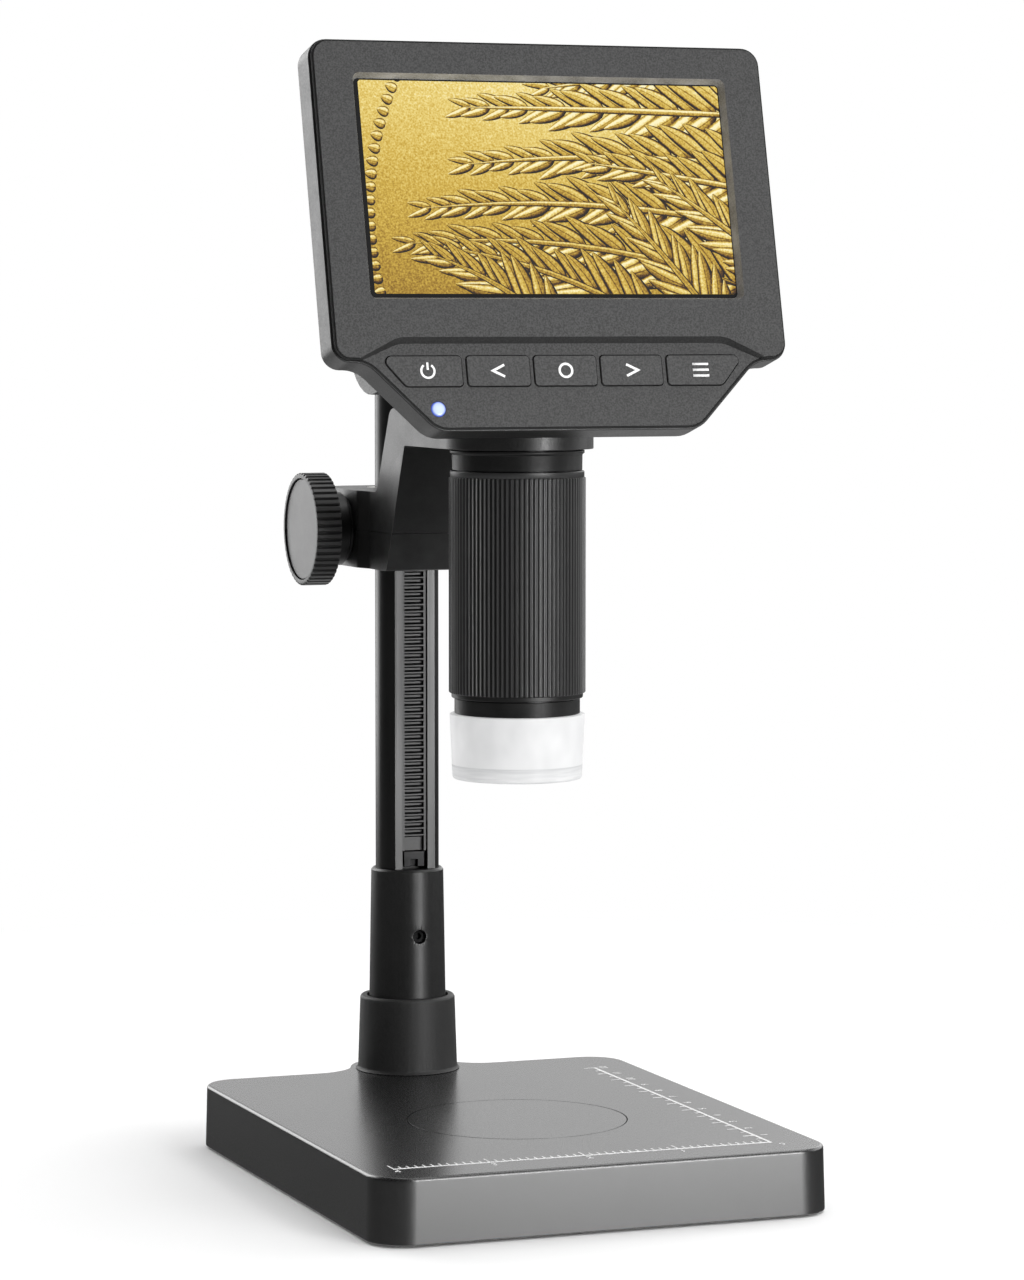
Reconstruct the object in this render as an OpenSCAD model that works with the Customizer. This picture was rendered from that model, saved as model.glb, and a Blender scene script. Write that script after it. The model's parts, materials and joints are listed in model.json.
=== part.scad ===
// Bench microscope with a tilted display head on a rack column.
// Millimetres. Z up, X to the right, Y to the back. The origin is on the table,
// in the middle of the base with its rear lug.

/* [Base] */
// width of the base block
base_w = 123; // [118:1:140]
// depth of the base block, front to back, without the rear lug
base_d = 153; // [150:1:170]
// how far the rear lug under the column stands out behind the block
lug_d = 16.5; // [15.5:0.5:19]
// height of the base top above the table
base_h = 17.2; // [16:0.2:22]
// radius of the four upright corners of the base
base_corner_r = 10; // [6:1:16]
// wall of the hollow base block
base_wall = 2.4; // [2:0.2:3]
// height the rubber feet hold the base rim off the table
foot_gap = 0.5; // [0.4:0.1:1.5]

/* [Stage and optical axis] */
// diameter of the loose stage disc
stage_d = 57.4; // [50:0.5:70]
// thickness of the loose stage disc
stage_t = 1.4; // [1.2:0.1:1.6]
// distance of the optical axis in front of the column axis
throat = 86; // [84:0.5:90]

/* [Column] */
// radius of the round back of the column
column_r = 8.8; // [8.6:0.1:9]
// distance of the front flat of the column from its axis
column_flat = 6.6; // [6.4:0.1:6.8]
// height of the top of the column above the table
column_top = 255; // [252:1:300]
// height of the top of the socket on the base
socket_top = 38.1; // [34:0.5:42]
// height of the top of the sleeve around the column foot
sleeve_top = 73.8; // [70:0.5:75]

/* [Rack and pinion] */
// tooth module of rack and pinion
tooth_module = 0.6; // [0.58:0.01:0.62]
// number of pinion teeth
pinion_teeth = 14; // [13:1:15]
// diameter of the focus knob
knob_d = 30.7; // [28:0.1:32]
// number of grip ribs round the knob
knob_ribs = 50; // [40:2:64]

/* [Carriage] */
// height of the underside of the carriage box
box_low = 158.8; // [155:0.5:160]
// height of the carriage box
box_h = 21; // [20:0.5:22]
// width of the arm and of the ring
arm_w = 39.6; // [38:0.2:41]
// height of the underside of the ring
ring_low = 192.8; // [192:0.2:193]
// thickness of the ring, bottom to top
ring_t = 9.7; // [9:0.1:10]

/* [Barrel] */
// number of grip ribs round the focus ring
grip_ribs = 90; // [60:5:100]
// outer radius of the focus ring over its ribs
grip_r = 17.8; // [17.4:0.1:18.2]
// lowest face of the light diffuser above the table
diffuser_low = 107; // [104:0.5:110]

/* [Head] */
// lean of the display face from upright
head_tilt = 13.9; // [13:0.1:15]
// width of the head
head_w = 122.8; // [121:0.2:130]
// depth of the side walls of the head
wall_depth = 9.5; // [9:0.1:10]
// full depth of the head over its rear bulge
bulge_depth = 29; // [28.5:0.1:32]
// height the upper bezel stands over the button panel
bezel_step = 1.4; // [1:0.1:1.6]
// height of the display window
window_h = 56.4; // [50:0.2:57]
// width of the display window
window_w = 99.4; // [90:0.2:100]

/* [Hidden] */
$fn = 96;
gap = 0.1;                 // between pieces that are fastened together
run = 0.06;                // radial running fit of a shaft in its hole
clear = 0.3;               // between pieces that move past each other
screw_fn = 36;

base_front = -(base_d + lug_d) / 2;
base_rear = base_front + base_d;
column_y = base_rear - 0.3;
axis_y = column_y - throat;
head_y = axis_y - 22.5;    // middle of the window, front to back
head_z = 259.2;            // middle of the window above the table
axle_z = box_low + 10.2;   // height of the pinion axle, also the housing split
pitch = PI * tooth_module;
pitch_r = tooth_module * pinion_teeth / 2;
rack_face = column_y - column_flat + 0.7;         // tips of the rack teeth
pitch_line = rack_face + tooth_module;
axle_y = pitch_line - pitch_r;
rack_low = 78.9;
rack_top = column_top - 6;
slot_w = 7.4;
slot_d = 4.7;
rack_w = 5.7;              // width of the teeth
rail_w = 0.65;             // smooth rail on each side of the teeth

top_wall = 2.8;            // top wall of the base
ring_top = ring_low + ring_t;
tube_r = 15.5;             // outside of the fixed barrel tube
tube_bore = 12.9;
tube_low = 124.2;
tube_top = 214.2;
grip_low = 128.2;
grip_top = 187;
spigot_low = diffuser_low + 12.5;
neck_r = 19.3;             // neck of the head around the barrel tube

cover_in = 0.95;           // the front cover is this much smaller than the head
face_back = -1.6;          // back of the front cover plate
tray_floor = -(wall_depth - 1.9);
bulge_w = 94;
bulge_low = -50.2;
bulge_high = 31;
bulge_wall = 1.8;
board_back = -14;          // rear face of the main board
window_v = 0.1;
reveal = 0.95;             // the window is this much wider all round at the face
glass_top = -1;
button_v = -47.3;
button_h = 8.2;
light_u = -34.7;
light_v = -56.9;
inch = 25.4;
scale_x = base_w / 2 - 13; // corner where the two printed scales meet
scale_y = base_front + 13;
ink = 0.06;                // thickness of the print
ink_line = 0.8;            // width of the printed base lines
ink_tick = 0.36;           // width of the printed marks

plastic = [0.2, 0.2, 0.21];
plastic_light = [0.34, 0.34, 0.35];
rubber = [0.06, 0.06, 0.06];
steel = [0.72, 0.72, 0.74];
alloy = [0.3, 0.3, 0.32];
board_green = [0.08, 0.32, 0.18];
brass = [0.78, 0.62, 0.3];
frosted = [0.93, 0.94, 0.95, 0.8];

// ---------- outlines ----------

function unit(v) = v / norm(v);
function wrap(t) = t > 180 ? t - 360 : t < -180 ? t + 360 : t;

// points of the arc that rounds corner q between its neighbours p and s
function arc_corner(p, q, s) =
    let (a = unit([p.x - q.x, p.y - q.y]), b = unit([s.x - q.x, s.y - q.y]),
         half = acos(max(-1, min(1, a * b))) / 2, r = q.z, at = [q.x, q.y])
    r <= 0 || half > 89.9 ? [at] :
    let (cut = r / tan(half), c = at + unit(a + b) * (r / sin(half)),
         from = at + a * cut - c, to = at + b * cut - c,
         a0 = atan2(from.y, from.x), turn = wrap(atan2(to.y, to.x) - a0),
         n = max(2, ceil(abs(turn) / 10)))
    [for (i = [0 : n]) c + r * [cos(a0 + turn * i / n), sin(a0 + turn * i / n)]];

// closed outline from corners [x, y, radius]
function rounded(path) = let (n = len(path))
    [for (i = [0 : n - 1]) each arc_corner(path[(i + n - 1) % n], path[i], path[(i + 1) % n])];

// the same counter-clockwise corners moved inwards by t
function inset(path, t) = let (n = len(path))
    [for (i = [0 : n - 1])
        let (p = path[(i + n - 1) % n], q = path[i], s = path[(i + 1) % n],
             e = unit([q.x - p.x, q.y - p.y]), f = unit([s.x - q.x, s.y - q.y]),
             ne = [-e.y, e.x], nf = [-f.y, f.x], bend = e.x * f.y - e.y * f.x,
             d = (nf - ne) * t, k = (d.x * f.y - d.y * f.x) / bend,
             at = [q.x, q.y] + ne * t + e * k)
        [at.x, at.y, q.z == 0 ? 0 : max(0.2, q.z - sign(bend) * t)]];

function box_path(w, h, r, x = 0, y = 0) =
    [[x - w / 2, y - h / 2, r], [x + w / 2, y - h / 2, r],
     [x + w / 2, y + h / 2, r], [x - w / 2, y + h / 2, r]];

module plate(path, z0, z1) translate([0, 0, z0]) linear_extrude(z1 - z0) polygon(rounded(path));

// prism along X from an outline in Y and Z
module side_prism(path, x0, x1)
    translate([x0, 0, 0]) rotate([90, 0, 90]) linear_extrude(x1 - x0) polygon(rounded(path));

module rod(r, z0, z1, x = 0, y = 0) translate([x, y, z0]) cylinder(r = r, h = z1 - z0);

// rod along X
module cross_rod(r, x0, x1, y, z)
    translate([x0, y, z]) rotate([0, 90, 0]) cylinder(r = r, h = x1 - x0);

// head frame: X across, Y up the tilted face, Z out of the face
module in_head() translate([0, head_y, head_z]) rotate([90 - head_tilt, 0, 0]) children();

// pan head screw, head down at z0, shank up to z1
module screw(r, z0, z1, head_r, head_h) {
    difference() {
        translate([0, 0, z0]) cylinder(r = head_r, h = head_h, $fn = screw_fn);
        translate([0, 0, z0 - 1]) cylinder(r = head_r * 0.45, h = 1 + head_h * 0.55, $fn = 6);
    }
    translate([0, 0, z0 + head_h * 0.6])
        cylinder(r = r, h = z1 - z0 - head_h * 0.6, $fn = screw_fn);
}

// ---------- base ----------

lug_top = base_rear + lug_d;
base_path = [[-base_w / 2, base_front, base_corner_r], [base_w / 2, base_front, base_corner_r],
    [base_w / 2, base_rear, base_corner_r], [17, base_rear, 13], [11.4, lug_top, 10],
    [-11.4, lug_top, 10], [-17, base_rear, 13], [-base_w / 2, base_rear, base_corner_r]];
cover_screws = [for (x = [-1, 1], y = [base_front + 13, base_rear - 13]) [x * (base_w / 2 - 13), y]];
foot_spots = [for (x = [-1, 1], y = [base_front + 26, base_rear - 26]) [x * (base_w / 2 - 14), y]];
cover_low = foot_gap + 0.5;
cover_top = cover_low + 2;

module base_shell() color(plastic) difference() {
    union() {
        difference() {
            plate(base_path, foot_gap, base_h);
            plate(inset(base_path, base_wall), foot_gap - 1, base_h - top_wall);
        }
        for (s = cover_screws) rod(3.6, cover_top + gap, base_h - top_wall + 0.5, s.x, s.y);
        rod(9.5, cover_top + 4, base_h - top_wall + 0.5, 0, column_y);
    }
    rod(stage_d / 2 + clear, base_h - stage_t, base_h + 1, 0, axis_y);
    for (s = cover_screws) rod(1.35, 0, cover_top + 8, s.x, s.y);
    rod(3.3, 0, base_h + 1, 0, column_y);
}

module base_cover() color(plastic) difference() {
    plate(inset(base_path, base_wall + gap), cover_low, cover_top);
    for (s = cover_screws) {
        rod(1.9, 0, cover_top + 1, s.x, s.y);
        rod(3.4, 0, cover_low + 1.2, s.x, s.y);
    }
    for (f = foot_spots) rod(6.1, 0, cover_low + 0.6, f.x, f.y);
    rod(6.6, 0, cover_top + 1, 0, column_y);
}

module ballast_plate() color(steel) difference() {
    plate(box_path(84, 104, 4, 0, axis_y), cover_top + gap, cover_top + gap + 7);
    for (x = [-1, 1], y = [-1, 1]) rod(2.2, 0, 20, x * 34, axis_y + y * 44);
}

module rubber_feet() color(rubber)
    for (f = foot_spots) rod(6, 0, cover_low + 0.5, f.x, f.y);

module base_screws() color(steel) for (s = cover_screws)
    translate([s.x, s.y, 0]) screw(1.3, cover_low + 0.1, cover_top + 7.5, 3.1, 1.1);

module stage_disc() color(rubber) rod(stage_d / 2, base_h - stage_t + 0.02, base_h + 0.02, 0, axis_y);

// printed inch scale in twelfths, zero at the right
module scale_inch() color("white") translate([scale_x, scale_y, base_h]) {
    translate([-4 * inch - ink_tick / 2, -ink_line / 2, 0])
        cube([4 * inch + ink_tick / 2 + ink_line / 2, ink_line, ink]);
    for (k = [1 : 48]) translate([-k * inch / 12 - ink_tick / 2, 0, 0])
        cube([ink_tick, k % 12 == 0 ? 4.6 : 2.7, ink]);
}

// printed centimetre scale in halves, zero at the front
module scale_cm() color("white") translate([scale_x, scale_y, base_h]) {
    translate([-ink_line / 2, ink_line / 2 + 0.05, 0])
        cube([ink_line, 120 + ink_tick / 2 - ink_line / 2 - 0.05, ink]);
    for (k = [1 : 24]) translate([k % 2 == 0 ? -3.2 : -1.7, k * 5 - ink_tick / 2, 0])
        cube([k % 2 == 0 ? 3.2 : 1.7, ink_tick, ink]);
}

// ---------- column ----------

function taper(z, z0, r0, z1, r1) = r0 + (r1 - r0) * (z - z0) / (z1 - z0);
socket_foot_r = 13.85;
socket_r = 13.1;
sleeve_r = 10;
sleeve_low = base_h + 3.6;
sleeve_foot_r = 10.95;
column_low = sleeve_low + 3;

module post_socket() color(plastic) difference() {
    translate([0, column_y, 0]) rotate_extrude() polygon([[3.3, base_h + gap],
        [socket_foot_r + 0.8, base_h + gap], [socket_foot_r + 0.3, base_h + 0.5],
        [socket_foot_r, base_h + 1.2], [socket_r + 0.1, socket_top - 0.6],
        [socket_r - 0.4, socket_top], [11.3, socket_top], [11.3, base_h + 3.4],
        [3.3, base_h + 3.4]]);
}

module column_section(grow = 0) difference() {
    circle(r = column_r + grow);
    translate([-20, -20]) square([40, 20 - column_flat - grow]);
}

module post_sleeve() color(plastic) difference() {
    translate([0, column_y, 0]) rotate_extrude() polygon([[3.3, sleeve_low],
        [sleeve_foot_r, sleeve_low], [sleeve_r + 0.05, sleeve_top - 0.6],
        [sleeve_r - 0.5, sleeve_top], [3.3, sleeve_top]]);
    translate([0, column_y, column_low - gap]) linear_extrude(100) column_section(gap);
    rod(3.3, 0, column_low + 1, 0, column_y);
    translate([0, column_y, 55.3]) rotate([90, 0, 0]) cylinder(r = 1.95, h = 20);
}

module post_bolt() color(steel) translate([0, column_y, 0])
    screw(3.1, cover_low + 0.2, column_low + 16, 6.2, 4);

// set screw at the bottom of the cross hole, with a hexagon recess
module sleeve_screw() color(rubber) translate([0, column_y - column_flat - gap, 55.3])
    rotate([90, 0, 0]) difference() {
        cylinder(r = 1.85, h = 2.2, $fn = screw_fn);
        translate([0, 0, 1]) cylinder(r = 0.9, h = 3, $fn = 6);
    }

module column() color(alloy) difference() {
    translate([0, column_y, column_low]) linear_extrude(column_top - column_low) difference() {
        column_section();
        translate([-slot_w / 2, -column_flat - 1]) square([slot_w, slot_d + 1]);
        translate([0, 3.5]) circle(r = 1.6);
    }
    rod(3.15, 0, column_low + 18, 0, column_y);
}

module column_cap() color(plastic) translate([0, column_y, column_top + gap]) {
    linear_extrude(2.4) column_section(0.3);
    translate([0, 0, 2.3]) linear_extrude(0.9) column_section(-0.8);
}

// teeth point to the front, one space centred at the height of the axle
rack_first = ceil((rack_low + 3.4 - axle_z) / pitch - 0.5);
rack_last = floor((rack_top - 0.7 - axle_z) / pitch - 0.5);
tooth_half = pitch / 4 - 0.07;
slope = tan(20);

function rack_points() = let (tip = rack_face, root = pitch_line + 1.25 * tooth_module,
        t = tooth_half - tooth_module * slope, b = tooth_half + 1.25 * tooth_module * slope)
    concat([[root, rack_low]], [for (k = [rack_first : rack_last])
        let (z = axle_z + (k + 0.5) * pitch)
        each [[root, z - b], [tip, z - t], [tip, z + t], [root, z + b]]],
        [[root, rack_top], [root + 1.9, rack_top], [root + 1.9, rack_low]]);

module rack() color(steel) {
    translate([-rack_w / 2, 0, 0]) rotate([90, 0, 90])
        linear_extrude(rack_w) polygon(rack_points());
    for (x = [-rack_w / 2 - rail_w, rack_w / 2 - 0.05]) translate([x, rack_face, rack_low])
        cube([rail_w + 0.05, rack_points()[0].x + 1.9 - rack_face, rack_top - rack_low]);
}

// clip that closes the slot under the rack
module rack_stop() color(steel) difference() {
    translate([-3, rack_face + 0.1, sleeve_top + 0.6])
        cube([6, 3.8, rack_low - sleeve_top - 0.8]);
    translate([-1, rack_face - 1, sleeve_top]) cube([2, 2.4, 2.6]);
}

// ---------- pinion and knob ----------

base_r = pitch_r * cos(20);
function inv_at(r) = r <= base_r ? 0 :
    let (q = sqrt(pow(r / base_r, 2) - 1)) q * 180 / PI - atan(q);
half_at_pitch = tooth_half / pitch_r * 180 / PI;
function half_tooth(r) = half_at_pitch + inv_at(pitch_r) - inv_at(r);
pinion_root = pitch_r - 1.25 * tooth_module;
pinion_tip = pitch_r + tooth_module;
flank = [pinion_root, base_r, pitch_r - 0.1, pitch_r + 0.2, pitch_r + 0.4, pinion_tip];

function polar(r, a) = [r * cos(a), r * sin(a)];

module pinion_outline() polygon([for (k = [0 : pinion_teeth - 1])
    let (a = 360 * k / pinion_teeth) each concat(
        [for (r = flank) polar(r, a - half_tooth(r))],
        [for (i = [len(flank) - 1 : -1 : 0]) polar(flank[i], a + half_tooth(flank[i]))])]);

box_half = 21.4;           // half width of the carriage box
knob_in = -27.2;
knob_out = -34.1;
cap_in = 0.45;             // how far the cap lies behind the rim of the knob
cap_r = knob_d / 2 - 1.6;
shaft_r = 2.5;
shaft_collar_r = column_y - column_flat - axle_y - 0.2;   // just clear of the flat of the column

module pinion_shaft() color(steel) {
    cross_rod(shaft_r, knob_out + cap_in + 1.4, 17, axle_y, axle_z);
    translate([-2.65, axle_y, axle_z]) rotate([90, 0, 90]) linear_extrude(5.3) pinion_outline();
    for (s = [-1, 1])
        cross_rod(shaft_collar_r, s > 0 ? 2.6 : -7.7, s > 0 ? 7.7 : -2.6, axle_y, axle_z);
}

module knob() color(rubber) difference() {
    union() {
        translate([knob_out, axle_y, axle_z]) rotate([90, 0, 90])
            linear_extrude(knob_in - knob_out) polygon([for (i = [0 : knob_ribs * 5 - 1])
                polar(knob_d / 2 - (i % 5 < 3 ? 0 : 0.5), i * 72 / knob_ribs)]);
        cross_rod(10, knob_in - 1, -22.7, axle_y, axle_z);
        cross_rod(8.8, knob_in - 1, -box_half - clear, axle_y, axle_z);
    }
    cross_rod(shaft_r + gap / 2, knob_out + cap_in + 1.3, 0, axle_y, axle_z);
    cross_rod(cap_r + 0.1, knob_out - 1, knob_out + cap_in + 1.3, axle_y, axle_z);
}

module knob_cap() color(plastic_light) translate([knob_out + cap_in, axle_y, axle_z])
    rotate([0, 90, 0]) rotate_extrude()
        polygon([[0, 0], [cap_r - 0.2, 0], [cap_r, 0.2], [cap_r, 1.25], [0, 1.25]]);

// ---------- carriage ----------

box_top = box_low + box_h;
box_rear = column_y + 13.8;
arm_half = arm_w / 2;
panel_top_y = axis_y + 31.8;         // where the sloped front panel meets the ring arm
panel_low_y = axis_y + 46.5;

arm_side = [[axis_y, ring_low, 0], [panel_top_y, ring_low, 1], [panel_low_y, box_low, 1.2],
    [column_y - 20, box_low, 0], [column_y - 20, box_top, 0], [column_y - 31.7, box_top, 3],
    [column_y - 42.7, ring_top, 4],
    [axis_y, ring_top, 0]];
box_plan = [[-arm_half, axis_y + 20, 0], [arm_half, axis_y + 20, 0], [arm_half, column_y - 26, 6],
    [box_half, column_y - 20, 5], [box_half, box_rear, 9], [-box_half, box_rear, 9],
    [-box_half, column_y - 20, 5], [-arm_half, column_y - 26, 6]];
panel_lean = (panel_low_y - panel_top_y) / (ring_low - box_low);
box_side = [[panel_low_y - panel_lean * (box_h + 1), box_top + 1, 0], [panel_low_y, box_low, 1.2],
    [120, box_low, 0], [120, box_top + 1, 0]];
tension_z = axle_z + 3.1;      // height of the screw that gives the slide its friction
pad_back = column_r + 0.8;     // back of the brass pad behind the column axis
tip_gap = 0.2;                 // from the tension screw to its pad
case_screws = [for (x = [-16, 16], y = [column_y - 28, column_y + 4]) [x, y]];

module carriage_solid() {
    side_prism(arm_side, -arm_half, arm_half);
    rod(arm_half, ring_low, ring_top, 0, axis_y);
    intersection() {
        plate(box_plan, box_low, box_top);
        side_prism(box_side, -30, 30);
    }
}

module carriage_hollows() {
    rod(tube_r + 0.9, ring_low - 1, ring_top + 1, 0, axis_y);
    translate([0, column_y, box_low - 1]) linear_extrude(box_h + 30) column_section(0.45);
    for (z = [box_low - 0.01, box_top - 4.99]) translate([0, column_y, z])
        linear_extrude(5) column_section(2.5);
    cross_rod(shaft_r + 0.4, -40, 18, axle_y, axle_z);
    for (s = [-1, 1]) cross_rod(4.6, s > 0 ? 7.9 : -13.1, s > 0 ? 13.1 : -7.9, axle_y, axle_z);
    cross_rod(9.1, 18, 40, axle_y, axle_z);
    translate([-8, axle_y - 5.6, axle_z - 5.6]) cube([16, 12, 11.2]);
    translate([0, box_rear - 12, tension_z]) rotate([-90, 0, 0]) cylinder(r = 2.1, h = 20);
    translate([0, column_y + 6, tension_z]) rotate([-90, 0, 0])
        cylinder(r = 2.8, h = pad_back - 5);
}

module carriage_arm() color(plastic) difference() {
    intersection() {
        carriage_solid();
        translate([-50, -90, axle_z + 0.05]) cube([100, 200, 60]);
    }
    carriage_hollows();
    for (s = case_screws) rod(1.35, axle_z - 1, axle_z + 8, s.x, s.y);
}

module carriage_base() color(plastic) difference() {
    intersection() {
        carriage_solid();
        translate([-50, -90, axle_z - 60.05]) cube([100, 200, 60]);
    }
    carriage_hollows();
    for (s = case_screws) {
        rod(1.8, box_low - 1, axle_z + 1, s.x, s.y);
        rod(3.3, box_low - 1, box_low + 2.6, s.x, s.y);
    }
}

module carriage_screws() color(steel) for (s = case_screws)
    translate([s.x, s.y, 0]) screw(1.3, box_low + 0.9, axle_z + 7.5, 3.1, 1.6);

module guide_bush(z) color(frosted) translate([0, column_y, z]) linear_extrude(4.7)
    difference() { column_section(2.4); column_section(run); }

module guide_bush_upper() guide_bush(box_top - 4.8);
module guide_bush_lower() guide_bush(box_low + 0.15);

module tension_pad() color(brass) translate([0, column_y, tension_z])
    rotate([-90, 0, 0]) intersection() {
        difference() {
            translate([0, 0, 6]) cylinder(r = 2.6, h = pad_back - 6);
            rotate([90, 0, 0]) translate([0, 0, -10]) cylinder(r = column_r + run, h = 20);
        }
        cylinder(r = 2.6, h = 20);
    }

module tension_screw() color(steel) translate([0, box_rear + 2.8, tension_z])
    rotate([90, 0, 0]) screw(1.95, 0, box_rear + 2.8 - column_y - pad_back - tip_gap, 4.2, 2.7);

module axle_bush(x) color(brass) difference() {
    cross_rod(4.5, x, x + 5, axle_y, axle_z);
    cross_rod(shaft_r + run, x - 1, x + 6, axle_y, axle_z);
}

module axle_bush_left() axle_bush(-13);
module axle_bush_right() axle_bush(8);

module axle_cover() color(plastic_light) {
    cross_rod(9, 18.1, box_half + 0.2, axle_y, axle_z);
    cross_rod(8.2, box_half, box_half + 0.9, axle_y, axle_z);
}

module ring_liner() color(rubber) difference() {
    rod(tube_r + 0.8, ring_low + 0.2, ring_top - 0.2, 0, axis_y);
    rod(tube_r + run, ring_low - 1, ring_top + 1, 0, axis_y);
}

// ---------- barrel ----------

cell_low = 132;
cell_high = 150;
key_low = 137;
key_high = 145;
focus_travel = 4;

module tube(r, bore, z0, z1) difference() {
    rod(r, z0, z1, 0, axis_y);
    rod(bore, z0 - 1, z1 + 1, 0, axis_y);
}

module barrel_tube() color(alloy) difference() {
    tube(tube_r, tube_bore, tube_low, tube_top);
    for (s = [0, 180]) translate([0, axis_y, key_low - 0.5]) rotate([0, 0, s])
        translate([10, -2.15, 0]) cube([10, 4.3, key_high - key_low + focus_travel + 1]);
}

module barrel_collar() color(plastic) translate([0, axis_y, 0]) rotate_extrude()
    polygon([[tube_r + gap / 2, grip_top + clear], [16.9, grip_top + clear], [16.95, 191.4],
        [17.5, 191.7], [17.5, ring_low - clear - 0.1], [17.3, ring_low - clear],
        [tube_r + gap / 2, ring_low - clear]]);

module focus_ring() color(rubber) difference() {
    union() {
        rod(17.4, grip_top - 1.7, grip_top, 0, axis_y);
        translate([0, axis_y, grip_low + 1.5]) linear_extrude(grip_top - 1.6 - grip_low - 1.5)
            polygon([for (i = [0 : grip_ribs * 4 - 1])
                polar(grip_r - (i % 4 < 2 ? 0 : 0.4), i * 90 / grip_ribs)]);
        translate([0, axis_y, grip_low]) cylinder(r1 = 16.6, r2 = 17.3, h = 1.6);
    }
    rod(tube_r + clear, grip_low - 1, grip_top + 1, 0, axis_y);
}

module lens_cell() color(alloy) {
    translate([0, axis_y, 0]) rotate_extrude() polygon([[7.4, cell_low],
        [tube_bore - run, cell_low], [tube_bore - run, cell_high], [9.6, cell_high],
        [9.6, cell_low + 8], [8.3, cell_low + 7.4], [8.3, cell_low + 1.4], [7.4, cell_low + 1.4]]);
    for (s = [0, 180]) translate([0, axis_y, key_low]) rotate([0, 0, s])
        translate([12.2, -2, 0]) cube([3, 4, key_high - key_low]);
}

module objective_lens() color([0.6, 0.75, 0.85, 0.6]) translate([0, axis_y, cell_low + 1.5])
    rotate_extrude() polygon(concat([for (i = [0 : 8]) [8.2 * i / 8, 1.2 * pow(i / 8, 2)]],
        [for (i = [8 : -1 : 0]) [8.2 * i / 8, 4.6 - 1.2 * pow(i / 8, 2)]]));

sensor_z = 196;

module sensor_board() color(board_green) rod(tube_bore - gap, sensor_z, sensor_z + 1.6, 0, axis_y);

module image_sensor() color([0.12, 0.14, 0.2]) translate([-4.5, axis_y - 3.8, sensor_z - 1.4])
    cube([9, 7.6, 1.3]);

// flat cable from the sensor up to the main board
module sensor_ribbon() color([0.75, 0.45, 0.15]) side_prism([[axis_y - 0.15, sensor_z + 1.65, 0],
    [axis_y + 0.15, sensor_z + 1.65, 0], [axis_y + 0.15, 217.2, 3], [axis_y - 13.8, 223.1, 0],
    [axis_y - 13.9, 222.8, 0], [axis_y - 0.15, 217, 3]], -4, 4);

module nose_ring() color(plastic) translate([0, axis_y, 0]) rotate_extrude()
    polygon([[tube_r + gap / 2, grip_low - clear], [16.34, grip_low - clear],
        [16.34, 124.1], [15.8, 124.1], [15.8, spigot_low], [14.5, spigot_low],
        [14.5, 123.6], [tube_bore + 0.4, 123.6], [tube_bore + 0.4, 124.1],
        [tube_r + gap / 2, 124.1]]);

module light_board() color("white") difference() {
    rod(14.4, 121.9, 123.5, 0, axis_y);
    rod(8.5, 120, 125, 0, axis_y);
}

module light_chips() color([0.98, 0.93, 0.6]) for (i = [0 : 7])
    translate([0, axis_y, 0]) rotate([0, 0, i * 45]) translate([11.4 - 1.4, -1.4, 120.6])
        cube([2.8, 2.8, 1.25]);

module diffuser() color(frosted) translate([0, axis_y, 0]) rotate_extrude()
    polygon([[8, diffuser_low + 0.3], [8.3, diffuser_low], [16.1, diffuser_low],
        [16.7, diffuser_low + 0.3], [16.95, diffuser_low + 0.9], [17.6, 123.7], [17.4, 124],
        [15.95, 124], [15.95, spigot_low - 0.2], [15.3, spigot_low - 0.4],
        [15.1, diffuser_low + 4.2], [14.7, diffuser_low + 3.8], [8, diffuser_low + 3.8]]);

// ---------- head ----------

head_path = [[-35.5, -62.6, 7.5], [35.5, -62.6, 7.5], [52.8, -44.9, 8],
    [head_w / 2, -44.9, 4.5], [head_w / 2, 38.2, 5], [-head_w / 2, 38.2, 5],
    [-head_w / 2, -44.9, 4.5], [-52.8, -44.9, 8]];
cover_path = inset(head_path, cover_in);
step_path = [[-44, -39.7, 8], [44, -39.7, 8], [62, -47.7, 0], [80, -47.7, 0], [80, 60, 0],
    [-80, 60, 0], [-80, -47.7, 0], [-62, -47.7, 0]];
// side view of the bulge in Y and Z, drawn in by t, up to a height
function bulge_side(t, front) = let (back = t - bulge_depth)
    [[bulge_low + t, front, 0], [bulge_low + t, back, 18 - t],
     [bulge_high - t, back, 6 - t], [bulge_high - t, front, 0]];
door_path = box_path(66, 44, 3, -6, 0);
head_screws = [[-56, 32.5], [56, 32.5], [-56, -38.5], [56, -38.5]];
board_posts = [[-38, 22], [32.5, 22], [-38, -35], [38, -35]];
port_v = 10;
card_v = -8;
wheel_v = 24;
wheel_u = bulge_w / 2 - 4.4;
wheel_w = -20.5;
roof = [[axis_y - 24, ring_top - 1, 0], [axis_y + 22, ring_top - 1, 0], [axis_y + 22, 213, 0],
    [axis_y + 1.3, 232, 5], [axis_y - 24, 232, 0]];

button_list = [
    [[-42.9, 0, 2], [-27.5, 0, 1.2], [-27.5, 1, 1.2], [-49.8, 1, 1.7]],
    [[-26.6, 0, 1.2], [-9.4, 0, 1.2], [-9.4, 1, 1.2], [-26.6, 1, 1.2]],
    [[-8.6, 0, 1.2], [8.6, 0, 1.2], [8.6, 1, 1.2], [-8.6, 1, 1.2]],
    [[9.4, 0, 1.2], [26.6, 0, 1.2], [26.6, 1, 1.2], [9.4, 1, 1.2]],
    [[27.5, 0, 1.2], [42.9, 0, 2], [49.8, 1, 1.7], [27.5, 1, 1.2]]];
function button_path(k) = [for (c = button_list[k])
    [c.x, button_v - button_h / 2 + c.y * button_h, c.z]];
function mid_u(k) = (min([for (c = button_list[k]) c.x]) + max([for (c = button_list[k]) c.x])) / 2;

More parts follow.
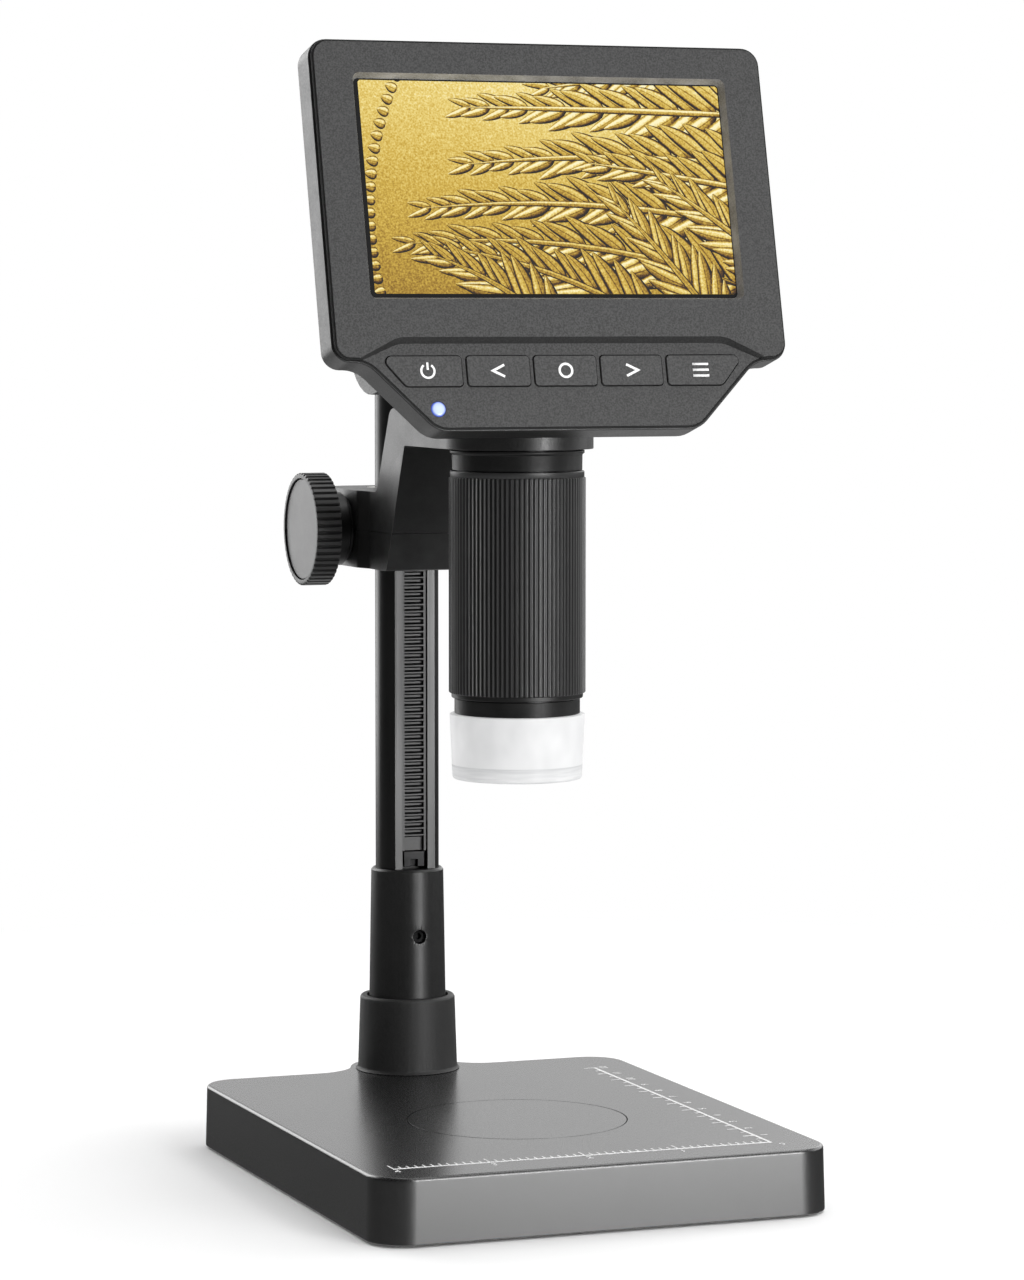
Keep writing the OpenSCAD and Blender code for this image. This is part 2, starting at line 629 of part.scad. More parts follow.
module rear_housing() color(plastic) difference() {
    union() {
        difference() {
            union() {
                in_head() {
                    plate(head_path, -wall_depth, -0.15);
                    side_prism(bulge_side(0, 1 - wall_depth), -bulge_w / 2, bulge_w / 2);
                }
                intersection() {
                    rod(neck_r, ring_top + clear, 236, 0, axis_y);
                    side_prism(roof, -30, 30);
                }
            }
            in_head() {
                plate(inset(head_path, 1.9), tray_floor, 1);
                plate(cover_path, -2, 1);
                plate(inset(cover_path, -0.55), -2, 1);
                side_prism(bulge_side(bulge_wall, tray_floor + 1),
                    bulge_wall - bulge_w / 2, bulge_w / 2 - bulge_wall);
            }
            intersection() {
                rod(neck_r - 1.9, tube_top + 0.3, 236, 0, axis_y);
                side_prism(inset(roof, 2), -30, 30);
            }
        }
        in_head() for (p = board_posts)
            rod(2.6, -bulge_depth + 1, board_back - gap, p.x, p.y);
        intersection() {
            tube(neck_r, tube_r, ring_top + clear, tube_top + 0.3);
            side_prism(roof, -30, 30);
        }
    }
    rod(tube_r + gap / 2, 190, tube_top + 0.4, 0, axis_y);
    in_head() {
        for (s = head_screws) {
            rod(1.7, -20, 0, s.x, s.y);
            rod(3.1, -20, -wall_depth + 1, s.x, s.y);
        }
        for (p = board_posts) rod(1, board_back - 6, board_back + 1, p.x, p.y);
        plate(inset(door_path, -0.2), -bulge_depth - 1, -bulge_depth + bulge_wall + 1);
        translate([30, port_v - 4.3, board_back - 3.4]) cube([30, 8.6, 3.4]);
        translate([30, card_v - 6.2, board_back - 2.2]) cube([30, 12.4, 2]);
        translate([wheel_u - 6, wheel_v - 1.8, wheel_w - 6]) cube([30, 3.6, 12]);
    }
}

module front_cover() color(plastic_light) in_head() difference() {
    union() {
        plate(cover_path, face_back, 0);
        intersection() {
            plate(cover_path, -0.5, bezel_step);
            plate(step_path, -1, bezel_step + 1);
        }
        for (s = head_screws) rod(2.3, tray_floor + gap, face_back + 0.5, s.x, s.y);
    }
    // sloped reveal round the window
    hull() {
        plate(box_path(window_w, window_h, 1.2, 0, window_v), glass_top - 0.2, glass_top);
        plate(box_path(window_w + 2 * reveal, window_h + 2 * reveal, 1.9, 0, window_v),
            bezel_step, bezel_step + 0.2);
    }
    plate(box_path(window_w + 3.4, window_h + 3.4, 1, 0, window_v), face_back - 1, glass_top);
    for (k = [0 : 4]) plate(button_path(k), -9, 9);
    rod(2, -9, 9, light_u, light_v);
    for (s = head_screws) rod(1.1, tray_floor - 1, -1, s.x, s.y);
}

// dark trim in the seam between front cover and rear housing
module seam_trim() color(rubber) in_head() difference() {
    plate(inset(cover_path, -0.5), -1.9, 0.95);
    plate(inset(cover_path, -0.08), -3, 2);
    translate([-80, -90, -0.1]) cube([160, 45.6, 5]);
}

module display_panel() color([0.1, 0.1, 0.11]) in_head()
    plate(box_path(105.5, 66.4, 1, 0, window_v), -4.7, face_back - gap);

module display_window() color([0.85, 0.7, 0.25, 0.7]) in_head()
    plate(box_path(window_w + 3, window_h + 3, 0.8, 0, window_v), face_back, glass_top - 0.03);

// key cap with a retaining flange behind the panel and a stem on its switch
module button(k) color(plastic_light) in_head() {
    plate(inset(button_path(k), 0.28), -2.2, 0.5);
    intersection() {
        plate(inset(button_path(k), -0.3), -2.8, -1.9);
        translate([-60, button_v - button_h / 2 - 0.3, -5]) cube([120, button_h + 0.6, 10]);
    }
    rod(1.6, -3.5, -2.7, mid_u(k), button_v);
}

module button_power() button(0);
module button_left() button(1);
module button_ok() button(2);
module button_right() button(3);
module button_menu() button(4);

// circuit board with one dome switch under each key
module button_board() in_head() {
    color(board_green) plate(box_path(86, 11, 1, 0, button_v + 0.2), -6.5, -4.9);
    color(steel) for (k = [0 : 4]) rod(2.4, -5, -4.1, mid_u(k), button_v);
}

module status_light() color([0.8, 0.9, 1]) in_head() {
    rod(1.88, -4, 0.3, light_u, light_v);
    rod(2.6, -4, -1.7, light_u, light_v);
}

module main_board() in_head() {
    color(board_green) difference() {
        plate(box_path(84, 64, 1.5, 0, -6), board_back, board_back + 1.6);
        for (p = board_posts) rod(1.2, board_back - 1, board_back + 3, p.x, p.y);
    }
    color(rubber) {
        plate(box_path(16, 16, 0.3, -6, 2), board_back + 1.5, board_back + 2.7);
        plate(box_path(10, 13, 0.3, 16, 4), board_back + 1.5, board_back + 2.5);
        plate(box_path(22, 3.4, 0.3, -4, -32), board_back + 1.5, board_back + 3.2);
        translate([wheel_u - 5, wheel_v - 5.2, wheel_w - 4]) cube([7, 3.6, board_back - wheel_w + 4.1]);
    }
    color(steel) translate([wheel_u, wheel_v + 1.6, wheel_w]) rotate([90, 0, 0])
        cylinder(r = 0.94, h = 3.6);
}

module battery() color([0.25, 0.3, 0.5]) in_head()
    plate(box_path(60, 40, 2, -6, 0), -bulge_depth + bulge_wall + 0.2, board_back - 3);

module battery_door() color(plastic) in_head() {
    plate(door_path, -bulge_depth + 0.1, -bulge_depth + bulge_wall);
    for (i = [-2 : 2]) plate(box_path(14, 0.8, 0.3, -6, -14 + i * 1.8),
        -bulge_depth - 0.3, -bulge_depth + 0.2);
}

module usb_port() color(steel) in_head() difference() {
    translate([bulge_w / 2 - 7, port_v - 4, board_back - 3.1]) cube([6.8, 8, 3]);
    translate([bulge_w / 2 - 5.8, port_v - 3.5, board_back - 2.7]) cube([9, 7, 2.2]);
}

module card_slot() color(steel) in_head() difference() {
    translate([bulge_w / 2 - 16, card_v - 7, board_back - 2.3]) cube([14, 14, 2.2]);
    translate([bulge_w / 2 - 15.2, card_v - 5.8, board_back - 2]) cube([20, 11.6, 1.5]);
}

// thumb wheel of the lamp brightness control
module dimmer_wheel() color(rubber) in_head() translate([wheel_u, wheel_v, wheel_w])
    rotate([90, 0, 0]) difference() {
        translate([0, 0, -1.3]) linear_extrude(2.6) polygon([for (i = [0 : 27 * 4])
            polar(5.5 - (i % 4 < 2 ? 0 : 0.3), i * 360 / 108)]);
        translate([0, 0, -3]) cylinder(r = 1, h = 6);
    }

// ---------- parts ----------

base_shell();
base_cover();
ballast_plate();
rubber_feet();
base_screws();
stage_disc();
scale_inch();
scale_cm();
post_socket();
post_sleeve();
post_bolt();
sleeve_screw();
column();
column_cap();
rack();
rack_stop();
carriage_arm();
carriage_base();
carriage_screws();
guide_bush_upper();
guide_bush_lower();
tension_pad();
tension_screw();
axle_bush_left();
axle_bush_right();
axle_cover();
ring_liner();
pinion_shaft();
knob();
knob_cap();
barrel_tube();
barrel_collar();
focus_ring();
lens_cell();
objective_lens();
sensor_board();
image_sensor();
sensor_ribbon();
nose_ring();
light_board();
light_chips();
diffuser();
rear_housing();
front_cover();
seam_trim();
display_panel();
display_window();
button_power();
button_left();
button_ok();
button_right();
button_menu();
button_board();
status_light();
main_board();
battery();
battery_door();
usb_port();
card_slot();
dimmer_wheel();
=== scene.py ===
"""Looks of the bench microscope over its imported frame. Metres, Z up, X to the right.

Outlines, profiles and places on the face are in millimetres.
"""

import json
import math

import bmesh
import bpy
from mathutils import Matrix, Vector


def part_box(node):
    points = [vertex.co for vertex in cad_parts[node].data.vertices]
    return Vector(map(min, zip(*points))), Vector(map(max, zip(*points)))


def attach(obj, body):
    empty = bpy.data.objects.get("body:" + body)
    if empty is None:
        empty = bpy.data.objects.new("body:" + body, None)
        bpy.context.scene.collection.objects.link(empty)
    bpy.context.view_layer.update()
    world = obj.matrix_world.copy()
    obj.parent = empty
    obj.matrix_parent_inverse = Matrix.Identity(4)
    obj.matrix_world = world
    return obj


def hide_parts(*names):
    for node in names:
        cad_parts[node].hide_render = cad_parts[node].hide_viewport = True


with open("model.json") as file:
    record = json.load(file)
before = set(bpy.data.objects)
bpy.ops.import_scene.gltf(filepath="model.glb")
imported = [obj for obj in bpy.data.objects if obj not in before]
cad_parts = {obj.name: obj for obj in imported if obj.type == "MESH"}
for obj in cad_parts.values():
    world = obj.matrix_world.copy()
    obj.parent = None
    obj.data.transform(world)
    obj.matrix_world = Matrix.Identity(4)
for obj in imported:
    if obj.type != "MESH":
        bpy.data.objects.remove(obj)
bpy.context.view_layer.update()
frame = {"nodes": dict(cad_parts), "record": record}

MM = 0.001
TURN = 2 * math.pi

NODES = frame["nodes"]
BODY_OF = {n: body for body, names in frame["record"]["behaviour"]["bodies"].items() for n in names}
SLOT_OF = {s["node"]: s["material_slot"] for s in frame["record"]["subparts"]}


def middle(node):
    low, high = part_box(node)
    return (low + high) / 2


AXIS = middle("barrel_tube")
COLUMN = middle("post_socket")
AXLE = middle("knob")
BASE_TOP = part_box("base_shell")[1].z
HEAD_TILT = math.radians(13.9)
HEAD_MIDDLE = Vector((0, AXIS.y - 22.5 * MM, 259.2 * MM))
HEAD = Matrix.Translation(HEAD_MIDDLE) @ Matrix.Rotation(math.pi / 2 - HEAD_TILT, 4, "X")
FROM_HEAD = HEAD.inverted()


# ---------- node helpers ----------


class Nodes:
    """Adds nodes to a tree and feeds their sockets with values or links."""

    def __init__(self, tree):
        self.tree = tree

    def add(self, kind, values=None, **settings):
        node = self.tree.nodes.new(kind)
        for key, value in settings.items():
            setattr(node, key, value)
        for key, value in (values or {}).items():
            self.feed(node.inputs[key], value)
        return node

    def feed(self, socket, value):
        if isinstance(value, bpy.types.NodeSocket):
            self.tree.links.new(value, socket)
        else:
            socket.default_value = value

    def span(self, value, low, high, to_low=0.0, to_high=1.0, **settings):
        values = {"Value": value, "From Min": low, "From Max": high,
                  "To Min": to_low, "To Max": to_high}
        return self.add("ShaderNodeMapRange", values, **settings).outputs[0]

    def sums(self, operation, *values):
        return self.add("ShaderNodeMath", dict(enumerate(values)), operation=operation).outputs[0]

    def vectors(self, operation, *values):
        values = dict(enumerate(values))
        return self.add("ShaderNodeVectorMath", values, operation=operation).outputs


class Shader(Nodes):
    """A Principled material built node by node, in the object's own metres."""

    def __init__(self, name, **sockets):
        self.material = bpy.data.materials.new(name)
        self.material.use_nodes = True
        super().__init__(self.material.node_tree)
        self.surface = self.tree.nodes["Principled BSDF"]
        self.place = self.add("ShaderNodeTexCoord").outputs["Object"]
        for socket, value in sockets.items():
            self.set(socket.replace("_", " "), value)

    def set(self, socket, value):
        self.feed(self.surface.inputs[socket], value)

    def noise(self, size, detail=2.0, stretch=(1, 1, 1), rough=0.5):
        """Noise whose blotches are about size metres across, times stretch."""
        at = self.place
        if stretch != (1, 1, 1):
            scale = tuple(1 / s for s in stretch)
            at = self.add("ShaderNodeMapping", {"Vector": at, "Scale": scale}).outputs[0]
        values = {"Vector": at, "Scale": 1 / size, "Detail": detail, "Roughness": rough}
        return self.add("ShaderNodeTexNoise", values).outputs[0]

    def cells(self, size):
        values = {"Vector": self.place, "Scale": 1 / size}
        return self.add("ShaderNodeTexVoronoi", values).outputs[0]

    def height(self):
        return self.add("ShaderNodeSeparateXYZ", {0: self.place}).outputs[2]

    def blend(self, factor, a, b, mode="MIX"):
        values = {0: factor, 6: a, 7: b}
        return self.add("ShaderNodeMix", values, data_type="RGBA", blend_type=mode).outputs[2]

    def ramp(self, factor, stops):
        node = self.add("ShaderNodeValToRGB", {"Fac": factor})
        marks = node.color_ramp.elements
        while len(marks) < len(stops):
            marks.new(0.5)
        for mark, (at, colour) in zip(marks, stops):
            mark.position = at
            mark.color = colour
        return node.outputs[0]

    def edges(self):
        """1 on outward edges, 0 on flat places."""
        sharp = self.add("ShaderNodeNewGeometry").outputs["Pointiness"]
        return self.span(sharp, 0.51, 0.56)

    def done(self, colour, rough, height, depth, strength):
        """Gives back the material with its colour, its roughness and a bump of that height."""
        self.set("Base Color", colour)
        self.set("Roughness", rough)
        bump = {"Height": height, "Distance": depth, "Strength": strength}
        self.set("Normal", self.add("ShaderNodeBump", bump).outputs[0])
        return self.material


def grey(level):
    return (level, level, level, 1)


# ---------- materials ----------


def moulded(name, level, rough, grain=0.45 * MM, depth=0.012 * MM, wear=0.6, side_rough=None,
            ior=1.5, shine=0.5):
    """Spark-eroded plastic: fine grain, faint cloudiness, edges rubbed smoother and paler by wear.

    With side_rough, faces below the base top are that rough instead.
    """
    s = Shader(name, IOR=ior, Specular_IOR_Level=shine)
    cloud = s.noise(22 * MM, 3)
    fine = s.noise(grain, 2, rough=0.6)
    rub = s.sums("MULTIPLY", s.edges(), s.span(s.noise(6 * MM, 4), 0.35, 0.7, 0.0, wear))
    speck = s.span(fine, 0.38, 0.62, -0.3, 0.3)
    light = s.sums("ADD", speck, s.span(cloud, 0.2, 0.8, 0.98, 1.02))
    body = s.blend(1.0, grey(level), light, "MULTIPLY")
    speckle = s.span(fine, 0.3, 0.7, rough - 0.05, rough + 0.07)
    handled = s.span(cloud, 0.3, 0.75, -0.004, 0.004)
    if side_rough is not None:
        more = s.span(s.height(), BASE_TOP, BASE_TOP - 1.5 * MM, 0, side_rough - rough)
        speckle = s.sums("ADD", speckle, more)
    unworn = s.sums("ADD", speckle, handled)
    return s.done(s.blend(rub, body, grey(level * 2.4 + 0.01)),
                  s.sums("SUBTRACT", unworn, s.sums("MULTIPLY", rub, 0.15)), fine, depth, 0.8)


def anodised(name, level=0.006, rough=0.32):
    """Black anodised extrusion with faint drawing marks along Z."""
    s = Shader(name, IOR=1.45)
    drawn = s.noise(0.25 * MM, 3, stretch=(1, 1, 300))
    cloud = s.noise(30 * MM, 2)
    tone = s.blend(drawn, grey(level * 0.7), grey(level * 1.4))
    lines = s.span(drawn, 0.2, 0.8, rough - 0.06, rough + 0.08)
    return s.done(tone, s.sums("ADD", lines, s.span(cloud, 0.2, 0.8, -0.03, 0.03)),
                  drawn, 0.006 * MM, 0.6)


def ground_steel(name, level=0.55, rough=0.32):
    """Machined steel: grinding marks, slight heat tint and dull spots."""
    s = Shader(name, Metallic=1.0)
    lay = s.noise(0.12 * MM, 3, stretch=(1, 1, 40))
    spots = s.noise(3 * MM, 5)
    clean = s.blend(lay, grey(level * 0.8), (level * 1.1, level * 1.1, level * 1.13, 1))
    tone = s.blend(s.span(spots, 0.6, 0.75), clean, grey(level * 0.55))
    lines = s.span(lay, 0.2, 0.8, rough - 0.08, rough + 0.1)
    return s.done(tone, s.sums("ADD", lines, s.span(spots, 0.5, 0.8, 0, 0.15)),
                  lay, 0.004 * MM, 0.5)


def rack_steel(name):
    """Blackened steel: tooth tips, roots and rails, which face forwards or back, are metallic;
    flanks facing up or down are painted near black as painted shade, and made rougher.
    """
    s = Shader(name, Specular_IOR_Level=0.3)
    lay = s.noise(0.2 * MM, 3, stretch=(12, 1, 1))
    facing = s.add("ShaderNodeNewGeometry").outputs["True Normal"]
    upright = s.sums("ABSOLUTE", s.add("ShaderNodeSeparateXYZ", {0: facing}).outputs[1])
    unshaded_land = s.span(upright, 0.85, 0.98)
    s.set("Metallic", s.span(unshaded_land, 0, 1, 0, 0.6))
    # painted shade: flanks that face up or down are near black, lands keep the steel's tone
    tone = s.blend(unshaded_land, grey(0.001), s.blend(lay, grey(0.03), grey(0.062)))
    rough = s.sums("ADD", s.span(lay, 0.2, 0.8, 0.34, 0.48), s.span(unshaded_land, 1, 0, 0, 0.5))
    return s.done(tone, rough, lay, 0.01 * MM, 0.6)


def turned_brass(name):
    """Brass with lathe marks and patches of tarnish."""
    s = Shader(name, Metallic=1.0)
    lay = s.noise(0.2 * MM, 3, stretch=(20, 1, 1))
    clean = s.blend(lay, (0.62, 0.44, 0.16, 1), (0.82, 0.64, 0.3, 1))
    tone = s.blend(s.span(s.noise(4 * MM, 4), 0.5, 0.8), clean, (0.35, 0.22, 0.09, 1))
    return s.done(tone, s.span(lay, 0.2, 0.8, 0.25, 0.4), lay, 0.004 * MM, 0.5)


def soft_rubber(name, level=0.018):
    """Matt rubber that holds a little dust."""
    s = Shader(name, IOR=1.45)
    fine = s.noise(0.3 * MM, 3)
    dust = s.span(s.noise(5 * MM, 5), 0.45, 0.8)
    return s.done(s.blend(dust, grey(level), grey(level * 2.2)),
                  s.span(fine, 0.2, 0.8, 0.62, 0.82), fine, 0.02 * MM, 0.7)


def bearing_plastic(name):
    """Off-white sliding plastic with a waxy sheen."""
    s = Shader(name, IOR=1.48)
    fine = s.noise(0.2 * MM, 2)
    return s.done(s.blend(s.noise(4 * MM, 3), (0.72, 0.71, 0.66, 1), (0.84, 0.83, 0.79, 1)),
                  s.span(fine, 0.2, 0.8, 0.35, 0.5), fine, 0.008 * MM, 0.5)


def white_print(name):
    """Pad-printed white ink: slightly thin in places."""
    s = Shader(name, IOR=1.5)
    thin = s.noise(0.5 * MM, 4)
    return s.done(s.blend(s.span(thin, 0.25, 0.6), grey(0.62), grey(0.86)),
                  s.span(thin, 0.2, 0.8, 0.45, 0.6), thin, 0.006 * MM, 0.4)


def circuit_board(name):
    """Green lacquer over raised tracks, with gilded vias."""
    s = Shader(name, IOR=1.5)
    bricks = {"Vector": s.place, "Scale": 260.0, "Mortar Size": 0.06,
              "Color1": grey(0), "Color2": grey(0.3), "Mortar": grey(1)}
    tracks = s.add("ShaderNodeTexBrick", bricks).outputs[0]
    vias = s.span(s.cells(1.6 * MM), 0.16, 0.12)
    green = s.blend(tracks, (0.008, 0.07, 0.028, 1), (0.02, 0.16, 0.06, 1))
    s.set("Metallic", vias)
    return s.done(s.blend(vias, green, (0.62, 0.47, 0.2, 1)),
                  s.span(s.noise(2 * MM, 3), 0.3, 0.7, 0.25, 0.4), tracks, 0.03 * MM, 0.6)


def ribbon_film(name):
    """Amber film with copper lines along it."""
    s = Shader(name, IOR=1.6)
    waves = {"Vector": s.place, "Scale": 500.0}
    lines = s.add("ShaderNodeTexWave", waves, bands_direction="X").outputs[0]
    film = s.blend(s.span(lines, 0.4, 0.6), (0.42, 0.17, 0.03, 1), (0.7, 0.34, 0.12, 1))
    return s.done(film, s.span(s.noise(1 * MM, 3), 0.3, 0.7, 0.2, 0.35), lines, 0.01 * MM, 0.5)


def chip_top(name):
    """Dark sensor die with a faint coloured sheen."""
    s = Shader(name, IOR=1.7)
    tone = s.blend(s.noise(5 * MM, 1), (0.02, 0.03, 0.07, 1), (0.08, 0.05, 0.12, 1))
    return s.done(tone, 0.12, s.cells(0.3 * MM), 0.003 * MM, 0.3)


def lit_chip(name):
    """Yellow phosphor pad of a white lamp."""
    s = Shader(name, IOR=1.5, Roughness=0.5)
    grain = s.noise(0.2 * MM, 3)
    s.set("Base Color", s.blend(grain, (0.85, 0.62, 0.12, 1), (0.95, 0.8, 0.35, 1)))
    s.set("Emission Color", s.blend(grain, (1, 0.93, 0.75, 1), (1, 1, 0.95, 1)))
    s.set("Emission Strength", 2.0)
    return s.material


def coated_glass(name):
    """Clear glass with a faint blue coating and some haze."""
    s = Shader(name, IOR=1.52)
    s.set("Transmission Weight", 1.0)
    haze = s.noise(3 * MM, 4)
    s.set("Roughness", s.span(haze, 0.3, 0.8, 0.0, 0.03))
    s.set("Base Color", s.blend(haze, (0.9, 0.97, 1, 1), (1, 0.97, 0.99, 1)))
    return s.material


CUP_FLOOR = 3.8 * MM  # thickness of the cup's foot


def frosted_cup(name):
    """Frosted acrylic; its glow from the lamps inside is painted on as emission, and its thick foot
    is painted as a greyer, streaky band of shade.
    """
    s = Shader(name, IOR=1.49)
    frost = s.noise(0.25 * MM, 3)
    flow = s.noise(10 * MM, 2, stretch=(1, 1, 1.6))
    streak = s.noise(0.7 * MM, 2, stretch=(14, 14, 1))
    height = s.height()
    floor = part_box("diffuser")[0].z + CUP_FLOOR
    # painted shade: a greyer line and streaky band where the thick foot is
    foot = s.span(height, floor + 0.15 * MM, floor - 0.1 * MM)
    line = s.sums("MULTIPLY", foot, s.span(height, floor - 1.3 * MM, floor))
    band = s.sums("MULTIPLY", foot, s.span(streak, 0.35, 0.7))
    shade = s.sums("ADD", s.sums("MULTIPLY", line, 0.55), s.sums("MULTIPLY", band, 0.45))
    body = s.blend(s.span(flow, 0.3, 0.7), (0.46, 0.463, 0.466, 1), (0.57, 0.57, 0.573, 1))
    tone = s.blend(shade, body, (0.34, 0.345, 0.35, 1))
    # painted light: the cup's tone glows as emission, standing in for the lamps' light passing
    # through
    s.set("Transmission Weight", 0.35)
    s.set("Emission Color", tone)
    s.set("Emission Strength", 0.47)
    return s.done(tone, s.span(frost, 0.2, 0.8, 0.42, 0.6), frost, 0.01 * MM, 0.5)


def cell_wrap(name):
    """Shrink-wrapped cell: thin blue film with fine wrinkles."""
    s = Shader(name, IOR=1.5)
    wrinkle = s.noise(3 * MM, 4, stretch=(4, 1, 1))
    return s.done(s.blend(wrinkle, (0.03, 0.05, 0.16, 1), (0.06, 0.09, 0.24, 1)),
                  s.span(wrinkle, 0.2, 0.8, 0.25, 0.4), wrinkle, 0.05 * MM, 0.6)


def panel_frame(name):
    """Black lacquered metal frame of the display module."""
    s = Shader(name, IOR=1.5)
    fine = s.noise(0.4 * MM, 3)
    return s.done(s.blend(fine, grey(0.012), grey(0.02)),
                  s.span(fine, 0.2, 0.8, 0.25, 0.35), fine, 0.01 * MM, 0.4)


BLACK = moulded("black_moulded", 0.006, 0.42)
FACE = moulded("face_moulded", 0.053, 0.48, depth=0.018 * MM, wear=0.03, shine=0.17)
MATERIALS = {
    "black_plastic": BLACK,
    "rubber": soft_rubber("soft_rubber"),
    "grip": moulded("grip_moulded", 0.006, 0.36, grain=0.3 * MM, depth=0.005 * MM, wear=0.9),
    "stage": moulded("stage_moulded", 0.02, 0.4),
    "steel": ground_steel("ground_steel"),
    "print": white_print("white_print"),
    "anodised": anodised("black_anodised"),
    "grey_plastic": FACE,
    "key_plastic": moulded("key_moulded", 0.053, 0.46, grain=0.5 * MM, depth=0.014 * MM, wear=0.03,
                           shine=0.2),
    "bearing": bearing_plastic("bearing_plastic"),
    "brass": turned_brass("turned_brass"),
    "lens_glass": coated_glass("coated_glass"),
    "board": circuit_board("circuit_board"),
    "lamp": lit_chip("lit_chip"),
    "frosted": frosted_cup("frosted_cup"),
    "display": panel_frame("panel_frame"),
    "window": coated_glass("window_glass"),
    "cell": cell_wrap("cell_wrap"),
}
SMOOTH_TOP = {"grain": 0.35 * MM, "depth": 0.002 * MM, "wear": 0.02, "ior": 1.88}
DULL_BARREL = {"grain": 0.3 * MM, "depth": 0.004 * MM, "shine": 0.25}
BASE_SKIN = moulded("base_moulded", 0.006, 0.25, side_rough=0.37, **SMOOTH_TOP)
SPECIAL = {
    "stage_disc": moulded("disc_moulded", 0.007, 0.25, **SMOOTH_TOP),
    "knob_cap": moulded("cap_moulded", 0.024, 0.42, grain=0.4 * MM, wear=0.4, ior=1.6),
    "rack": rack_steel("rack_steel"),
    "post_socket": moulded("socket_moulded", 0.012, 0.56, grain=0.4 * MM),
    "post_sleeve": moulded("sleeve_moulded", 0.01, 0.38, grain=0.3 * MM, depth=0.006 * MM,
                           ior=1.45),
    "barrel_collar": moulded("collar_moulded", 0.005, 0.46, **DULL_BARREL),
    "nose_ring": moulded("nose_moulded", 0.005, 0.46, **DULL_BARREL),
    # painted shade: the seam trim is a near-black rubber strip put in the seam round the cover,
    # where it lies in shade
    "seam_trim": soft_rubber("seam_shade_rubber", 0.003),
    "sensor_ribbon": ribbon_film("ribbon_film"),
    "image_sensor": chip_top("chip_top"),
    "sleeve_screw": ground_steel("black_screw", 0.012, 0.5),
    "rack_stop": ground_steel("black_clip", 0.02, 0.4),
    "column_cap": moulded("satin_moulded", 0.005, 0.37, grain=0.3 * MM, depth=0.006 * MM,
                          ior=1.4),
}


# ---------- mesh helpers ----------

WELD = 0.002 * MM  # corners closer than this are one
FLAT = math.radians(0.6)  # faces that meet at less are one
SHARP = math.radians(28)  # edges that turn more are rounded
HARD = math.radians(38)  # edges that turn more are shaded sharp


def new_object(name, data):
    obj = bpy.data.objects.new(name, data)
    bpy.context.scene.collection.objects.link(obj)
    return obj


def finish_piece(name, bm, body, material, replaces=()):
    """Makes an object from a bmesh in frame coordinates and hangs it on its body."""
    mesh = bpy.data.meshes.new(name)
    bmesh.ops.recalc_face_normals(bm, faces=bm.faces)
    for edge in sharp_edges(bm, HARD):
        edge.smooth = False
    bm.to_mesh(mesh)
    bm.free()
    mesh.polygons.foreach_set("use_smooth", [True] * len(mesh.polygons))
    mesh.materials.append(material)
    piece = new_object(name, mesh)
    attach(piece, body)
    if replaces:
        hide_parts(*replaces)
    return piece


def stand_in(node, name, bm, material, weighted=True):
    """A finer piece that is shown in place of a CAD node."""
    piece = finish_piece(name, bm, BODY_OF[node], material, [node])
    if weighted:
        weigh_normals(piece)
    return piece


def sharp_edges(bm, least=SHARP):
    return [e for e in bm.edges if len(e.link_faces) == 2 and e.calc_face_angle(0) > least]


def cad_mesh(node, cuts=()):
    """The node's mesh with its triangles joined into flat faces.

    Each cut is a plane (point, normal) that keeps the faces on its two sides apart, so that no
    large face has a hole in it.
    """
    bm = bmesh.new()
    bm.from_mesh(NODES[node].data)
    bmesh.ops.remove_doubles(bm, verts=bm.verts, dist=WELD)
    for point, normal in cuts:
        whole = bm.verts[:] + bm.edges[:] + bm.faces[:]
        made = bmesh.ops.bisect_plane(bm, geom=whole, plane_co=point, plane_no=normal,
                                      dist=0.001 * MM)
        for edge in made["geom_cut"]:
            if isinstance(edge, bmesh.types.BMEdge):
                edge.seam = True
    bmesh.ops.dissolve_limit(bm, angle_limit=FLAT, verts=bm.verts, edges=bm.edges,
                             delimit={"SEAM"})
    return bm


def round_edges(bm, width, where, segments):
    """Rounds the sharp edges whose middle satisfies where(), by width millimetres."""
    picked = [e for e in sharp_edges(bm) if where((e.verts[0].co + e.verts[1].co) / 2)]
    bmesh.ops.bevel(bm, geom=picked, offset=width * MM, segments=segments, profile=0.5,
                    affect="EDGES", clamp_overlap=True, harden_normals=False)


def weigh_normals(piece):
    m = piece.modifiers.new("normals", "WEIGHTED_NORMAL")
    m.keep_sharp = True
    m.weight = 80


def smooth_group():
    """Geometry nodes: smooth faces, sharp where two faces meet at over 35 degrees."""
    tree = bpy.data.node_groups.new("smooth_by_angle", "GeometryNodeTree")
    for way in ("INPUT", "OUTPUT"):
        tree.interface.new_socket("Geometry", in_out=way, socket_type="NodeSocketGeometry")
    n = Nodes(tree)
    shape = n.add("NodeGroupInput").outputs[0]
    faces = n.add("GeometryNodeSetShadeSmooth", {0: shape}).outputs[0]
    angle = n.add("GeometryNodeInputMeshEdgeAngle").outputs[0]
    over = n.add("FunctionNodeCompare", {0: angle, 1: math.radians(35)}).outputs[0]
    values = {0: faces, "Selection": over, "Shade Smooth": False}
    edges = n.add("GeometryNodeSetShadeSmooth", values, domain="EDGE").outputs[0]
    n.add("NodeGroupOutput", {0: edges})
    return tree


SMOOTH = smooth_group()


def soften(obj, width):
    """Rounds every sharp edge of a carried-over CAD node by modifiers alone."""
    weld = obj.modifiers.new("weld", "WELD")
    weld.merge_threshold = WELD
    flat = obj.modifiers.new("flat", "DECIMATE")
    flat.decimate_type = "DISSOLVE"
    flat.angle_limit = FLAT
    bevel = obj.modifiers.new("bevel", "BEVEL")
    bevel.width = width * MM
    bevel.segments = 2
    bevel.limit_method = "ANGLE"
    bevel.angle_limit = SHARP
    smooth = obj.modifiers.new("smooth", "NODES")
    smooth.node_group = SMOOTH
    weigh_normals(obj)


